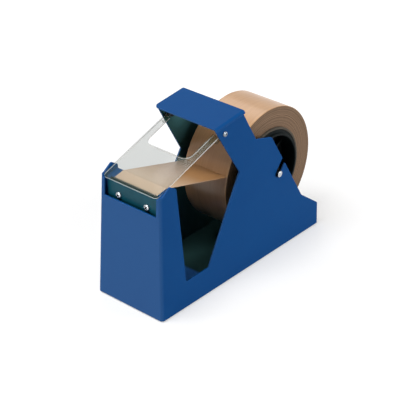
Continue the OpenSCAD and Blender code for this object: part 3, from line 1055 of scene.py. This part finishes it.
@dataclass
class Stand(Assembly):
    """The folded stand: two leaning sides, the front, the hood and the floor sheets.

    Lengths are millimetres, and places are station and height. hood_r is the radius of the hood's front
    and rear corner on the far side, flange the width, front and rear station of a side's bottom flange,
    and gate the half width and the sill of the opening in the front.
    """

    kept: ClassVar[dict[str, Finish]] = {
        "base_plate": FLOOR_COAT,
        "rear_tie": INSIDE_COAT,
        "tape_rest": BLUE_COAT,
        "rubber_feet": FOOT_RUBBER,
    }

    length: float = 216.4
    half_at_axle: float = 35.0
    lean: float = math.radians(2)
    sheet: float = 1.5
    fold_r: float = 3.0
    edge_r: float = 0.35
    rake: float = math.radians(60)
    foot_z: float = 1.0
    notch_z: float = 26.0
    waist_z: float = 101.2
    tail_h: float = 23.2
    tail_top: Pair = (192.0, 41.6)
    hump_z: float = 123.3
    hump_fall: float = math.radians(16)
    hump_r: float = 5.0
    corner_r: float = 2.0
    column_base_y: float = 31.7
    column_top_y: float = 23.7
    column_z: float = 117.0
    peak: Pair = (16.0, 123.4)
    peak_drop: float = 5.0
    hood: Pair = (74.6, 151.9)
    hood_pitch: float = math.radians(6)
    arm_w: float = 35.7
    hood_lip: float = 2.2
    hood_over: float = 5.0
    hood_r: Pair = (5.0, 1.5)
    slot_r: float = 3.3
    slot_angle: float = math.radians(50)
    slot_steps: int = 12
    lip_r: float = 0.8
    flange: Triple = (12.0, 159.5, 212.9)
    flange_root: float = 0.4
    post_z: float = 115.3
    gate: Pair = (29.0, 98.4)

    def half_at(self, z: float) -> float:
        """Returns the outer half width at a height."""
        return self.half_at_axle + (AXLE[1] - z) * math.tan(self.lean)

    def side_normal(self, side: Side) -> Vector:
        """Returns a side's outward direction."""
        return Vector((side.value * math.cos(self.lean), 0.0, math.sin(self.lean)))

    def front_normal(self) -> Vector:
        """Returns the front's outward direction."""
        return Vector((0.0, -math.cos(self.lean), math.sin(self.lean)))

    def on_side(self, side: Side, y: float, rise: float) -> Vector:
        """Places a point of a side's own drawing.

        Args:
            side: Which side.
            y: Station.
            rise: Distance up the leaning sheet.

        Returns:
            The point on the sheet's outer face.
        """
        x = self.half_at(0.0) - rise * math.sin(self.lean)
        return station(side.value * x, y, rise * math.cos(self.lean))

    def axle_slot(self, mouth: Pair, run: Pair) -> list[tuple[float, ...]]:
        """Draws the open axle slot as a notch in the back edge.

        Args:
            mouth: A point of the back edge.
            run: Direction of the back edge, upwards.

        Returns:
            Corners from the lower lip round the axle's seat to the upper lip.
        """
        ahead = Vector((math.cos(self.slot_angle), math.sin(self.slot_angle)))
        across = Vector((-ahead.y, ahead.x)) * self.slot_r
        seat, back = Vector(AXLE), Vector(run)
        lips = []
        for start in (seat - across, seat + across):
            gap = Vector(mouth) - start
            reach = (gap.x * back.y - gap.y * back.x) / (ahead.x * back.y - ahead.y * back.x)
            lips.append(start + ahead * reach)
        corners: list[tuple[float, ...]] = [(*lips[0], self.lip_r)]
        first = math.atan2(-across.y, -across.x)
        for k in range(self.slot_steps + 1):
            turn = first - math.pi * k / self.slot_steps
            corners.append((seat.x + self.slot_r * math.cos(turn), seat.y + self.slot_r * math.sin(turn)))
        corners.append((*lips[1], self.lip_r))
        return corners

    def side_outline(self, arm_top: Sequence[Pair]) -> list[Pair]:
        """Draws a side from its front foot round to its front edge.

        Args:
            arm_top: Rear and front end of the arm's top edge.

        Returns:
            Points (station, rise) of the outline, of which the last two are the front edge's top
            and its corner with the front panel's top.
        """
        run, slope = 1 / math.tan(self.rake), math.tan(self.lean)
        waist_y = self.hood[0] + (self.hood[1] - self.waist_z) * run
        notch_y = waist_y - (self.waist_z - self.notch_z) * run
        hump_y = self.hood[0] + self.arm_w + (self.hood[1] - self.hump_z) * run
        fall, steep = math.tan(self.hump_fall), math.tan(self.rake)
        rise = self.hump_z - self.tail_top[1] + hump_y * fall - self.tail_top[0] * steep
        rear_y = rise / (fall - steep)
        rear_z = self.hump_z - (rear_y - hump_y) * fall
        back = (rear_y - self.tail_top[0], rear_z - self.tail_top[1])
        small = self.corner_r / 2
        return rounded(
            [
                (self.fold_r + self.foot_z * slope, self.foot_z),
                (self.length, self.foot_z, small),
                (self.length, self.tail_h, self.corner_r),
                (*self.tail_top, self.corner_r),
                *self.axle_slot(self.tail_top, back),
                (rear_y, rear_z, self.hump_r),
                (hump_y, self.hump_z, small),
                *arm_top,
                (waist_y, self.waist_z, small),
                (notch_y, self.notch_z, self.corner_r),
                (self.column_base_y, self.notch_z, self.corner_r),
                (self.column_top_y, self.peak[1] - self.peak_drop, small),
                (*self.peak, self.corner_r),
                (self.fold_r + self.column_z * slope, self.column_z),
                (self.fold_r + self.post_z * slope, self.post_z),
            ]
        )

    def build_side(self, side: Side, arm_top: Sequence[Pair], welded: bool) -> list[Vector]:
        """Builds a side with its folded front corner and its bottom flange.

        Args:
            side: Which side.
            arm_top: Rear and front end of the arm's top edge.
            welded: Whether the hood's fold goes on from that edge.

        Returns:
            Where its front fold meets the front panel, from the foot up.
        """
        sheet = FoldedSheet(self.sheet * MM, self.edge_r * MM)
        outline = self.side_outline(arm_top)
        normal = self.side_normal(side)
        numbers = sheet.flat([self.on_side(side, *p) for p in outline], normal)
        if welded:
            sheet.weld([numbers[outline.index(p)] for p in arm_top])
        edge = [numbers[0], numbers[-1], numbers[-2]]
        fold = sheet.fold(edge, normal, self.front_normal(), self.fold_r * MM)
        sheet.weld(fold[:2])
        width, front_y, rear_y = self.flange
        reach = self.half_at(0.0) - self.sheet
        root, rim = reach + self.flange_root, reach - width
        corners = ((root, front_y), (rim, front_y), (rim, rear_y), (root, rear_y))
        places = [station(side.value * x, y, self.foot_z) for x, y in corners]
        sheet.flat(places, Vector((0.0, 0.0, -1.0)))
        meeting = [sheet.outer[n] for n in fold[:2]]
        name = side.name.lower()
        mesh = sheet.mesh()
        mesh.normal_update()
        for face in mesh.faces:
            # Inward faces take the coat that fades into painted shade further back
            inward = face.normal.dot(normal) < -0.5
            face.material_index = 1 if inward else 0
        make_piece(f"{name}_side_sheet", mesh, [BLUE_COAT, INSIDE_COAT], Body.STAND, f"{name}_side_panel")
        return meeting

    def build_hood(self) -> list[Pair]:
        """Builds the hood with the fold into the right side.

        Returns:
            Rear and front end of the right side's top edge in its own drawing.
        """
        pitch = self.hood_pitch
        up = Vector((0.0, -math.sin(pitch), math.cos(pitch)))
        fold_l = self.arm_w / math.cos(pitch)
        whole_l = fold_l + self.hood_lip
        far_x = -self.half_at(self.hood[1] - self.fold_r) - self.hood_over

        def fold_x(v: float) -> float:
            """Returns where the fold starts at a distance up the hood."""
            low = self.hood[1] + v * math.sin(pitch) - self.fold_r * math.cos(pitch)
            return self.half_at(0.0) - (self.fold_r + low * math.sin(self.lean)) / math.cos(self.lean)

        def on_hood(x: float, v: float) -> Vector:
            """Places a point of the hood's own drawing."""
            return station(x, self.hood[0] + v * math.cos(pitch), self.hood[1] + v * math.sin(pitch))

        bend = [(fold_x(v), v) for v in (0.0, fold_l, whole_l)]
        outline = rounded([(far_x, 0.0, self.hood_r[0]), *bend, (far_x, whole_l, self.hood_r[1])])
        sheet = FoldedSheet(self.sheet * MM, self.edge_r * MM)
        numbers = sheet.flat([on_hood(*p) for p in outline], up)
        line = [numbers[outline.index(p)] for p in bend]
        fold = sheet.fold(line, up, self.side_normal(Side.RIGHT), self.fold_r * MM)
        sheet.weld(fold[:2])
        ends = []
        for number in reversed(fold[:2]):
            point = sheet.outer[number] / MM
            ends.append((point.y + MID_STATION, point.z / math.cos(self.lean)))
        make_piece("hood_sheet", sheet.mesh(), [BLUE_COAT], Body.STAND, "hood")
        return ends

    def build_front(self, right: Sequence[Vector], left: Sequence[Vector]) -> None:
        """Builds the front panel between the sides' folds.

        Args:
            right: Foot and top of the right side's fold.
            left: Foot and top of the left side's fold.
        """
        slope, small = math.tan(self.lean), self.corner_r / 2
        half, low = self.gate
        gate = rounded([(half, self.post_z), (half, low, small), (-half, low, small), (-half, self.post_z)])
        sheet = FoldedSheet(self.sheet * MM, self.edge_r * MM)
        places = [left[0], right[0], right[1], *(station(x, z * slope, z) for x, z in gate), left[1]]
        numbers = sheet.flat(places, self.front_normal())
        sheet.weld([numbers[1], numbers[2]])
        sheet.weld([numbers[-1], numbers[0]])
        make_piece("front_sheet", sheet.mesh(), [BLUE_COAT], Body.STAND, "front_panel")

    def build(self) -> None:
        """Builds the hood, the sides and the front."""
        right_top = self.build_hood()
        rise = self.arm_w * math.tan(self.hood_pitch)
        left_top = [
            (self.hood[0] + self.arm_w, self.hood[1] + rise - self.sheet),
            (self.hood[0], self.hood[1] - self.sheet),
        ]
        right = self.build_side(Side.RIGHT, right_top, True)
        left = self.build_side(Side.LEFT, left_top, False)
        self.build_front(right, left)


@dataclass(frozen=True)
class PanHeadScrew:
    """A pan-head screw with a cross recess.

    Attributes:
        head: Radius, height and crown radius of the head.
        shank_l: Length of the shank.
        cross: Half length, width and depth of the recess's arms.
        facets: Facets round its axis.
        shank_r: Radius of the shank.
        tip_r: Radius of the shank's end edge.
        draft: How far the recess narrows towards its bottom.
        clear: How far the recess's form stands out of the head.
    """

    head: Triple
    shank_l: float
    cross: Triple
    facets: int
    shank_r: float = 1.5
    tip_r: float = 0.3
    draft: float = 0.12
    clear: float = 1.0

    def add(self, whole: Mesh, recesses: Mesh, place: Matrix) -> None:
        """Adds the screw, and the form of its recess apart, to be cut from it.

        Args:
            whole: Mesh that gets the screw.
            recesses: Mesh that gets the form of the recess.
            place: Matrix of the screw, whose head stands on the local origin.
        """
        radius, height, crown = self.head
        shank = [(0.0, -self.shank_l), (self.shank_r, -self.shank_l, self.tip_r), (self.shank_r, 0.0)]
        head = [(radius, 0.0), (radius, height, crown), (0.0, height)]
        lathe(whole, rounded(shank + head), place, self.facets)
        half, width, depth = self.cross
        turn = place @ Matrix.Rotation(math.radians(45), 4, "Z")
        arms = []
        for u, v in ((half, width / 2), (width / 2, half)):
            arms.append(bmesh.new())
            box(arms[-1], (-u, -v, height - depth), (u, v, height + self.clear), turn, self.draft)
        absorb(recesses, combine(*arms, Join.ADD))


@dataclass
class Cutter(Assembly):
    """The serrated blade, the plate that clamps it and their screws.

    Lengths are millimetres. clamp_z is the foot and top of the plate, and tooth_z the height of the
    teeth's roots and tips.
    """

    kept: ClassVar[dict[str, Finish]] = {"blade_nuts": BRIGHT_ZINC}

    clamp_y: float = 7.8
    clamp_t: float = 1.2
    clamp_half: float = 28.7
    clamp_z: Pair = (91.4, 112.8)
    clamp_r: float = 1.0
    clamp_edge: float = 0.3
    blade_t: float = 0.8
    tooth_z: Pair = (113.4, 116.0)
    grind_h: float = 1.4
    screw_x: float = 15.8
    screw_z: float = 101.7
    screw: PanHeadScrew = PanHeadScrew((2.85, 2.1, 1.1), 6.6, (1.9, 1.1, 1.6), 48)
    recess_rim: float = 0.2

    def build_blade(self) -> None:
        """Builds the blade with teeth ground from the front."""
        front, back = self.clamp_y + self.clamp_t, self.clamp_y + self.clamp_t + self.blade_t
        root, tip = self.tooth_z
        foot, shoulder = self.clamp_z[0], root - self.grind_h
        mesh = bmesh.new()
        pitch = 2 * BLADE_HALF / TEETH
        columns = []
        for i in range(2 * TEETH + 1):
            x = -BLADE_HALF + i * pitch / 2
            crest = tip if i % 2 else root
            section = ((front, foot), (front, shoulder), (back, crest), (back, foot))
            columns.append([mesh.verts.new(station(x, y, z)) for y, z in section])
        for one, two in zip(columns, columns[1:]):
            for k in range(4):
                mesh.faces.new([one[k], two[k], two[(k + 1) % 4], one[(k + 1) % 4]])
        mesh.faces.new(columns[0])
        mesh.faces.new(list(reversed(columns[-1])))
        make_piece("serrated_blade", mesh, [BLUED_BLADE], Body.STAND, "cutter_blade")

    def build_clamp(self) -> None:
        """Builds the clamp plate."""
        (low, high), half, corner = self.clamp_z, self.clamp_half, self.clamp_r
        outline = rounded([(-half, low, corner), (half, low, corner), (half, high, corner), (-half, high, corner)])
        sheet = FoldedSheet(self.clamp_t * MM, self.clamp_edge * MM)
        sheet.flat([station(x, self.clamp_y, z) for x, z in outline], Vector((0.0, -1.0, 0.0)))
        make_piece("clamp_plate", sheet.mesh(), [TEAL_ENAMEL], Body.STAND, "blade_clamp")

    def build_screws(self) -> None:
        """Builds the two pan-head screws, whose cross recesses are painted dark as painted shade."""
        whole, recesses = bmesh.new(), bmesh.new()
        places = (-self.screw_x, self.screw_x)
        for x in places:
            place = placed(station(x, self.clamp_y, self.screw_z), (0.0, -1.0, 0.0))
            self.screw.add(whole, recesses, place)
        mesh = combine(whole, recesses, Join.CUT)
        head_h, cross_half = self.screw.head[1], self.screw.cross[0]
        top = station(0.0, self.clamp_y - head_h, 0.0).y
        # Faces down in the cross recesses get a dark colour, painted shade
        for face in mesh.faces:
            middle = face.calc_center_median()
            off = min((middle - station(x, 0.0, self.screw_z)).xz.length for x in places)
            sunk = self.recess_rim * MM < middle.y - top < head_h * MM
            face.material_index = 1 if sunk and off < cross_half * MM else 0
        make_piece("cutter_screws", mesh, [BRIGHT_ZINC, RECESS_SHADE_STEEL], Body.STAND, "blade_screws")

    def build(self) -> None:
        """Builds the blade, the clamp plate and the screws."""
        self.build_blade()
        self.build_clamp()
        self.build_screws()


@dataclass
class Guard(Assembly):
    """The hinged clear guard over the cutter and the screws that it turns on.

    Lengths are millimetres, and places are station and height. apron is the depth of the sheet before
    its cut-out, cap_room how far before the hinge the arms end, and lit_band_top the top of the pale band,
    a frosted edge with a painted highlight, on the sawn edges, over the sheet's middle.
    """

    kept: ClassVar[dict[str, Finish]] = {"guard_washers": BLACK_NYLON, "guard_nuts": BLACK_NYLON}

    pivot: Pair = (85.4, 144.3)
    front: Pair = (3.4, 115.6)
    half: float = 30.39
    thickness: float = 2.0
    arm_w: float = 6.0
    apron: float = 47.0
    front_r: float = 4.0
    cut_r: float = 8.0
    ear_r: float = 4.5
    ear_gap: float = 0.02
    ear_steps: int = 24
    hole_r: float = 1.55
    hole_steps: int = 32
    cap_room: float = 5.2
    arris: float = 0.15
    lit_band_top: float = -0.25
    head_x: float = 32.79
    screw: PanHeadScrew = PanHeadScrew((2.4, 1.5, 1.2), 7.0, (1.4, 0.75, 0.9), 40)

    def pitch(self) -> float:
        """Returns the sheet's slope."""
        rise = self.pivot[1] - self.thickness / 2 - self.front[1]
        return math.atan2(rise, self.pivot[0] - self.front[0])

    def reach(self) -> float:
        """Returns the distance from the front edge to the hinge along the sheet."""
        return (self.pivot[0] - self.front[0]) / math.cos(self.pitch())

    def on_sheet(self, x: float, v: float, w: float) -> Vector:
        """Places a point of the sheet.

        Args:
            x: Place across.
            v: Distance from the front edge.
            w: Distance over the sheet's middle.

        Returns:
            The point in the CAD frame.
        """
        pitch, back = self.pitch(), v - self.reach()
        y = self.pivot[0] + back * math.cos(pitch) - w * math.sin(pitch)
        z = self.pivot[1] + back * math.sin(pitch) + w * math.cos(pitch)
        return station(x, y, z)

    def add_ears(self, mesh: Mesh, end: float) -> Mesh:
        """Adds the two upright ears and the hole for the hinge screws.

        Args:
            mesh: Mesh of the flat sheet, which is freed.
            end: Where the arms end, from the front edge.

        Returns:
            The mesh with its ears.
        """
        reach, over = self.reach(), self.thickness / 2
        sweep = 1.5 * math.pi - math.asin(over / self.ear_r)
        turns = [-math.pi / 2 + sweep * k / self.ear_steps for k in range(self.ear_steps + 1)]
        ear = [(end - self.ear_r, -self.ear_r)]
        ear += [(reach + self.ear_r * math.cos(a), self.ear_r * math.sin(a)) for a in turns]
        ear += [(end - self.ear_r, over)]
        for side in Side:
            # The ear's outer face stays a hair inside the arm's edge, so that the two stay apart
            outside = side.value * (self.half - self.ear_gap)
            tab = FoldedSheet(self.thickness * MM, 0.0)
            tab.flat([self.on_sheet(outside, v, w) for v, w in ear], Vector((side.value, 0.0, 0.0)))
            mesh = combine(mesh, tab.mesh(), Join.ADD)
        hole, past = bmesh.new(), 2 * self.half
        rod = [(0.0, -past), (self.hole_r, -past), (self.hole_r, past), (0.0, past)]
        lathe(hole, rod, placed(station(0.0, *self.pivot), (1.0, 0.0, 0.0)), self.hole_steps)
        return combine(mesh, hole, Join.CUT)

    def build_sheet(self) -> None:
        """Builds the sheet with its cut-out, ears and pale sawn edges, partly a painted highlight."""
        half, inner = self.half, self.half - self.arm_w
        end = self.reach() - self.cap_room
        top = Vector((0.0, -math.sin(self.pitch()), math.cos(self.pitch())))
        outline = rounded(
            [
                (-half, 0.0, self.front_r), (half, 0.0, self.front_r), (half, end), (inner, end),
                (inner, self.apron, self.cut_r), (-inner, self.apron, self.cut_r), (-inner, end), (-half, end),
            ]
        )
        sheet = FoldedSheet(self.thickness * MM, 0.0)
        sheet.flat([self.on_sheet(x, v, self.thickness / 2) for x, v in outline], top)
        mesh = self.add_ears(sheet.mesh(), end)
        round_edges(mesh, sharp_edges(mesh), self.arris * MM, steps=1)
        # The lower part of the upright edges gets the pale edge finish, a frosted cut edge with a painted
        # highlight; the rest stays clear
        line = self.on_sheet(0.0, 0.0, self.lit_band_top)
        ears = self.on_sheet(0.0, end - self.ear_r, 0.0).y
        whole = [*mesh.verts, *mesh.edges, *mesh.faces]
        bmesh.ops.bisect_plane(mesh, geom=whole, plane_co=line, plane_no=top)
        mesh.normal_update()
        for face in mesh.faces:
            centre = face.calc_center_median()
            upright = abs(face.normal.dot(top)) < 0.2
            sawn = upright and centre.y < ears and (centre - line).dot(top) < 0.0
            face.material_index = 1 if sawn else 0
        guard = make_piece("guard_sheet", mesh, [CLEAR_ACRYLIC, ACRYLIC_EDGE], Body.GUARD, "clear_guard")
        # Clear sheet lets the light through to the tape, which a path tracer's shadow rays don't do
        guard.visible_shadow = False

    def build_screws(self) -> None:
        """Builds the two hinge screws, bright outside the stand and dark inside it."""
        whole, recesses = bmesh.new(), bmesh.new()
        for side in Side:
            place = placed(station(side.value * self.head_x, *self.pivot), (side.value, 0.0, 0.0))
            self.screw.add(whole, recesses, place)
        mesh = combine(whole, recesses, Join.CUT)
        for face in mesh.faces:
            face.material_index = 1 if abs(face.calc_center_median().x) < self.head_x * MM else 0
        make_piece("hinge_screws", mesh, [DULL_ZINC, BLACK_OXIDE], Body.STAND, "guard_pins")

    def build(self) -> None:
        """Builds the clear sheet and the hinge screws."""
        self.build_sheet()
        self.build_screws()


@dataclass
class Reel(Assembly):
    """The axle, the two hub halves, the card core and the roll of tape with its free strip.

    Lengths are millimetres, and places are station and height. The roll's layers wander in waves of a
    size, rate and start, by wander_x, their mean inset and depth. drum and rim are outer radius, inner
    radius and end; web is place and thickness; boss is radius and end; groove is radius, inner and outer
    side. rib_sunk is how far a rib runs into the boss, the rim and the web.
    """

    kept: ClassVar[dict[str, Finish]] = {"axle_clips": BRIGHT_ZINC}

    tape_half: float = 24.0
    roll_r: float = 59.4
    roll_rows: int = 64
    roll_steps: int = 192
    roll_edge: float = 0.4
    roll_bands: Triple = (14.0, 0.0, -14.0)
    film_skin: float = 0.3
    wander: tuple[Triple, ...] = ((0.5, 1.9, 0.0), (0.3, 4.7, 1.0), (0.2, 9.1, 0.0))
    wander_x: Pair = (0.16, 0.15)
    core_r: Pair = (38.0, 39.95)
    core_half: float = 25.8
    core_edge: Pair = (0.4, 0.5)
    core_gap: float = 0.05
    drum: Triple = (37.9, 34.9, 25.7)
    rim: Triple = (35.2, 33.0, 28.6)
    web: Pair = (12.6, 2.4)
    boss: Pair = (9.0, 29.95)
    bore_r: float = 3.25
    hub_in: float = 0.05
    tube_steps: int = 128
    ribs: int = 6
    rib_h: float = 4.0
    rib_sunk: Triple = (1.0, 0.8, 0.5)
    rib_edge: float = 0.4
    axle_r: float = 3.2
    axle_half: float = 37.6
    axle_edge: float = 0.7
    axle_steps: int = 64
    bright_end: float = 0.1
    groove: Triple = (2.56, 30.1, 31.1)
    strip_y: float = 9.9
    shelf_tilt: float = math.atan2(2.9, 14.0)
    shelf_fold: Pair = (21.6, 113.598)
    strip_r: float = 2.25
    strip_t: float = 0.3
    peel: Pair = (99.47, 93.95)
    bite: float = 1.2

    def place(self, side: Side = Side.RIGHT) -> Matrix:
        """Returns the matrix of the reel's axis, outwards on a side."""
        return placed(station(0.0, *AXLE), (side.value, 0.0, 0.0))

    def build_roll(self) -> None:
        """Builds the wound roll, whose layers stand a little in and out at its sides."""
        inside = self.core_r[1] + self.core_gap
        inset, depth = self.wander_x
        face: list[Pair] = []
        for k in range(self.roll_rows + 1):
            radius = inside + (self.roll_r - inside) * k / self.roll_rows
            waves = sum(size * math.sin(radius * rate + start) for size, rate, start in self.wander)
            face.append((radius, self.tape_half - inset + depth * waves))
        face[-1] = (self.roll_r, self.tape_half - self.roll_edge)
        face[-2] = (self.roll_r - self.roll_edge, self.tape_half)
        outer = [(self.roll_r, x) for x in self.roll_bands]
        other = [(r, -x) for r, x in reversed(face)]
        mesh = bmesh.new()
        faces = lathe(mesh, face + outer + other, self.place(), self.roll_steps, ring=True)
        axis = station(0.0, *AXLE)
        for facet in faces:
            middle = facet.calc_center_median() - axis
            middle.x = 0.0
            facet.material_index = 0 if middle.length > (self.roll_r - self.film_skin) * MM else 1
        make_piece("wound_tape_roll", mesh, [BUFF_FILM, FILM_EDGE], Body.REEL, "tape_roll")

    def build_core(self) -> None:
        """Builds the card core with softly broken edges."""
        (inside, outside), (fine, coarse), half = self.core_r, self.core_edge, self.core_half
        corners = [(inside, -half, fine), (outside, -half, coarse), (outside, half, coarse), (inside, half, fine)]
        mesh = bmesh.new()
        lathe(mesh, rounded(corners), self.place(), self.tube_steps, ring=True)
        make_piece("card_core", mesh, [GREY_BOARD], Body.REEL, "paper_core")

    def build_hub(self, side: Side) -> None:
        """Builds a hub half with its dish, rim, boss and ribs.

        Args:
            side: Which side of the reel.
        """
        drum_r, drum_in, drum_end = self.drum
        rim_r, rim_in, rim_end = self.rim
        web_x, web_t = self.web
        boss_r, boss_end = self.boss
        # Third values are the moulding's radii
        profile = rounded(
            [
                (self.bore_r, self.hub_in), (boss_r, self.hub_in, 0.5), (boss_r, web_x - web_t, 1.0),
                (drum_in, web_x - web_t, 1.0), (drum_in, self.hub_in, 0.5), (drum_r, self.hub_in, 0.5),
                (drum_r, drum_end, 0.8), (rim_r, drum_end, 0.6), (rim_r, rim_end, 0.8), (rim_in, rim_end, 0.8),
                (rim_in, web_x, 1.5), (boss_r, web_x, 1.5), (boss_r, boss_end, 0.8), (self.bore_r, boss_end, 0.3),
            ]
        )
        mesh = bmesh.new()
        place = self.place(side)
        lathe(mesh, profile, place, self.tube_steps, ring=True)
        in_boss, in_rim, in_web = self.rib_sunk
        low = (boss_r - in_boss, -web_t / 2, web_x - in_web)
        high = (rim_in + in_rim, web_t / 2, web_x + self.rib_h)
        for i in range(self.ribs):
            rib = bmesh.new()
            turn = place @ Matrix.Rotation((i + 0.5) * 2 * math.pi / self.ribs, 4, "Z")
            box(rib, low, high, turn)
            round_edges(rib, sharp_edges(rib), self.rib_edge * MM, steps=2)
            absorb(mesh, rib)
        name = side.name.lower()
        make_piece(f"{name}_hub_half", mesh, [BLACK_ABS], Body.REEL, f"{name}_hub")

    def build_axle(self) -> None:
        """Builds the turned axle with its ring grooves and its bright rounded ends."""
        groove_r, groove_in, groove_out = self.groove
        half = [
            (0.0, self.axle_half), (self.axle_r, self.axle_half, self.axle_edge), (self.axle_r, groove_out),
            (groove_r, groove_out), (groove_r, groove_in), (self.axle_r, groove_in),
        ]
        mirrored = [(c[0], -c[1], *c[2:]) for c in reversed(half)]
        mesh = bmesh.new()
        for face in lathe(mesh, rounded(half + mirrored), self.place(), self.axle_steps):
            out = abs(face.calc_center_median().x)
            face.material_index = 1 if out > (self.axle_half - self.bright_end) * MM else 0
        make_piece("axle_rod", mesh, [BLACK_OXIDE, BRIGHT_ZINC], Body.AXLE, "axle")

    def build_strip(self) -> None:
        """Builds the free strip from the cutter's teeth over the shelf's edge down to the roll."""
        fold_y, fold_z = self.shelf_fold
        gap = Vector((self.peel[0] - fold_y, fold_z - self.peel[1]))
        fall = math.asin(self.strip_r / gap.length) + math.atan2(gap.y, gap.x)
        tilt = self.shelf_tilt
        rising = Vector((0.0, -math.sin(tilt), math.cos(tilt)))
        falling = Vector((0.0, math.sin(fall), math.cos(fall)))
        half = self.tape_half
        outside = self.strip_r + self.strip_t
        bend = (fold_y - outside * math.sin(tilt), fold_z + outside * math.cos(tilt))

        def on_shelf(x: float, y: float) -> Vector:
            """Places a point of the strip's upper face over the shelf."""
            return station(x, y, bend[1] + (y - bend[0]) * math.tan(tilt))

        # The torn edge follows the blade's teeth, with its hollows behind their tips
        step = BLADE_HALF / TEETH
        last = int(half / step)
        edge = [on_shelf(half, self.strip_y)]
        for k in range(last, -last - 1, -1):
            edge.append(on_shelf(k * step, self.strip_y + (self.bite if k % 2 else 0.0)))
        edge.append(on_shelf(-half, self.strip_y))
        sheet = FoldedSheet(self.strip_t * MM, 0.0)
        numbers = sheet.flat([on_shelf(-half, bend[0]), on_shelf(half, bend[0]), *edge], rising)
        fold = sheet.fold(numbers[:2], rising, falling, outside * MM)
        tails = [station(x, *self.peel) + falling * self.strip_t * MM for x in (-half, half)]
        ends = [sheet.point(tail, falling) for tail in tails]
        sheet.faces.append([fold[0], fold[1], ends[1], ends[0]])
        make_piece("free_tape_strip", sheet.mesh(), [TAUT_FILM], Body.STAND, "tape_strip")

    def build(self) -> None:
        """Builds the roll, the core, the hub halves, the axle and the strip."""
        self.build_roll()
        self.build_core()
        for side in Side:
            self.build_hub(side)
        self.build_axle()
        self.build_strip()


@dataclass(frozen=True)
class Lamp:
    """A soft square studio lamp.

    Attributes:
        name: Its name.
        place: Where it stands, in metres.
        size: Length of its sides in metres.
        power: Its power in watts.
    """

    name: str
    place: Triple
    size: float
    power: float


@dataclass
class Studio:
    """The white floor, the light tent, the lamps and the camera.

    Places and sizes are metres, the lens and its sensor millimetres. ambient is the level at which the
    tent lights. floor_shade_run is the distance from the object over which the floor's own glow rises,
    which paints shade round the object, and floor_lift the glow's ends.
    """

    camera_place: Triple = (0.68444, -0.80584, 0.66908)
    target: Triple = (-0.02476, 0.01196, 0.04408)
    lens: float = 123.92
    sensor: float = 36.0
    ambient: float = 0.02
    floor_half: float = 3.0
    floor_colour: str = "#C4C4C4"
    floor_lift: Pair = (0.45, 0.8)
    floor_shade_run: Pair = (0.15, 0.7)
    lamp_target: Triple = (0.0, 0.0, 0.07)
    lamps: tuple[Lamp, ...] = (
        Lamp("overhead_softbox", (-0.12, -0.55, 1.62), 1.0, 28.5),
        Lamp("rear_softbox", (-0.97, 0.75, 1.3), 0.7, 3.5),
        Lamp("side_softbox", (1.4, 0.75, 0.5), 0.9, 11.2),
        Lamp("low_side_strip", (1.35, 0.6, 0.15), 0.3, 6.7),
        Lamp("low_front_strip", (-0.1, -1.5, 0.15), 0.3, 7.3),
    )

    def build_camera(self) -> None:
        """Builds the camera at the photograph's angle."""
        data = bpy.data.cameras.new("camera")
        data.lens = self.lens
        data.sensor_width = self.sensor
        camera = in_scene("camera", data)
        aim(camera, self.camera_place, self.target)
        bpy.context.scene.camera = camera

    def seen(self, tree: Tree) -> Socket:
        """Adds the test for rays that show a surface rather than light others.

        Args:
            tree: Node tree that gets the test.

        Returns:
            Socket that is 1 for camera, glossy and transmission rays.
        """
        path = add_node(tree, "LightPath").node.outputs
        shown = add_node(tree, "Math", {0: path["Is Camera Ray"], 1: path["Is Glossy Ray"]}, operation="MAXIMUM")
        return add_node(tree, "Math", {0: shown, 1: path["Is Transmission Ray"]}, operation="MAXIMUM")

    def build_tent(self) -> None:
        """Builds the light tent, which looks white and lights at a plain level."""
        world = bpy.data.worlds.new("light_tent")
        bpy.context.scene.world = world
        tree = fresh_tree(world)
        level = add_node(tree, "MapRange", {"Value": self.seen(tree), "To Min": self.ambient, "To Max": 1.0})
        light = add_node(tree, "Background", {"Color": (1.0, 1.0, 1.0, 1.0), "Strength": level})
        add_node(tree, "OutputWorld", {"Surface": light})

    def paper(self) -> bpy.types.Material:
        """Makes the floor's paper, whose glow rises with the distance from the object: painted shade round it, and
        white further out.

        Returns:
            The paper's material.
        """
        made = bpy.data.materials.new("matt_backdrop_paper")
        tree = fresh_tree(made)
        matt = add_node(tree, "BsdfDiffuse", {"Color": linear(self.floor_colour)})
        place = add_node(tree, "TexCoord").node.outputs["Object"]
        # The glow is weaker near the object, which paints shade round it
        away = add_node(tree, "VectorMath", {0: place}, operation="LENGTH")
        (near, far), (low, high) = self.floor_shade_run, self.floor_lift
        rising = {"Value": away, "From Min": near, "From Max": far, "To Min": low, "To Max": high}
        run = add_node(tree, "MapRange", rising)
        lift = add_node(tree, "Math", {0: self.seen(tree), 1: run}, operation="MULTIPLY")
        glow = add_node(tree, "Emission", {"Strength": lift})
        both = add_node(tree, "AddShader", {0: matt, 1: glow})
        add_node(tree, "OutputMaterial", {"Surface": both})
        return made

    def build_floor(self) -> None:
        """Builds the white floor, which keeps the object's shadow."""
        mesh, half = bmesh.new(), self.floor_half
        corners = ((-half, -half), (half, -half), (half, half), (-half, half))
        mesh.faces.new([mesh.verts.new((x, y, 0.0)) for x, y in corners])
        data = to_data(mesh, "floor")
        data.materials.append(self.paper())
        in_scene("floor", data)

    def build_lamps(self) -> None:
        """Builds the soft lamps, aimed at the object."""
        for lamp in self.lamps:
            data = bpy.data.lights.new(lamp.name, "AREA")
            data.shape = "SQUARE"
            data.size = lamp.size
            data.energy = lamp.power
            aim(in_scene(lamp.name, data), lamp.place, self.lamp_target)

    def build(self) -> None:
        """Builds the camera, the tent, the floor and the lamps."""
        self.build_camera()
        self.build_tent()
        self.build_floor()
        self.build_lamps()
        bpy.context.scene.view_settings.view_transform = "Standard"


def main() -> None:
    """Builds the object's pieces round the CAD frame, and the studio."""
    logging.basicConfig(level=logging.INFO, format="%(name)s: %(message)s")
    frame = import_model()
    Studio().build()
    for assembly in (Stand(), Cutter(), Guard(), Reel()):
        assembly.build()
        assembly.dress(frame["nodes"])


if __name__ == "__main__":
    main()
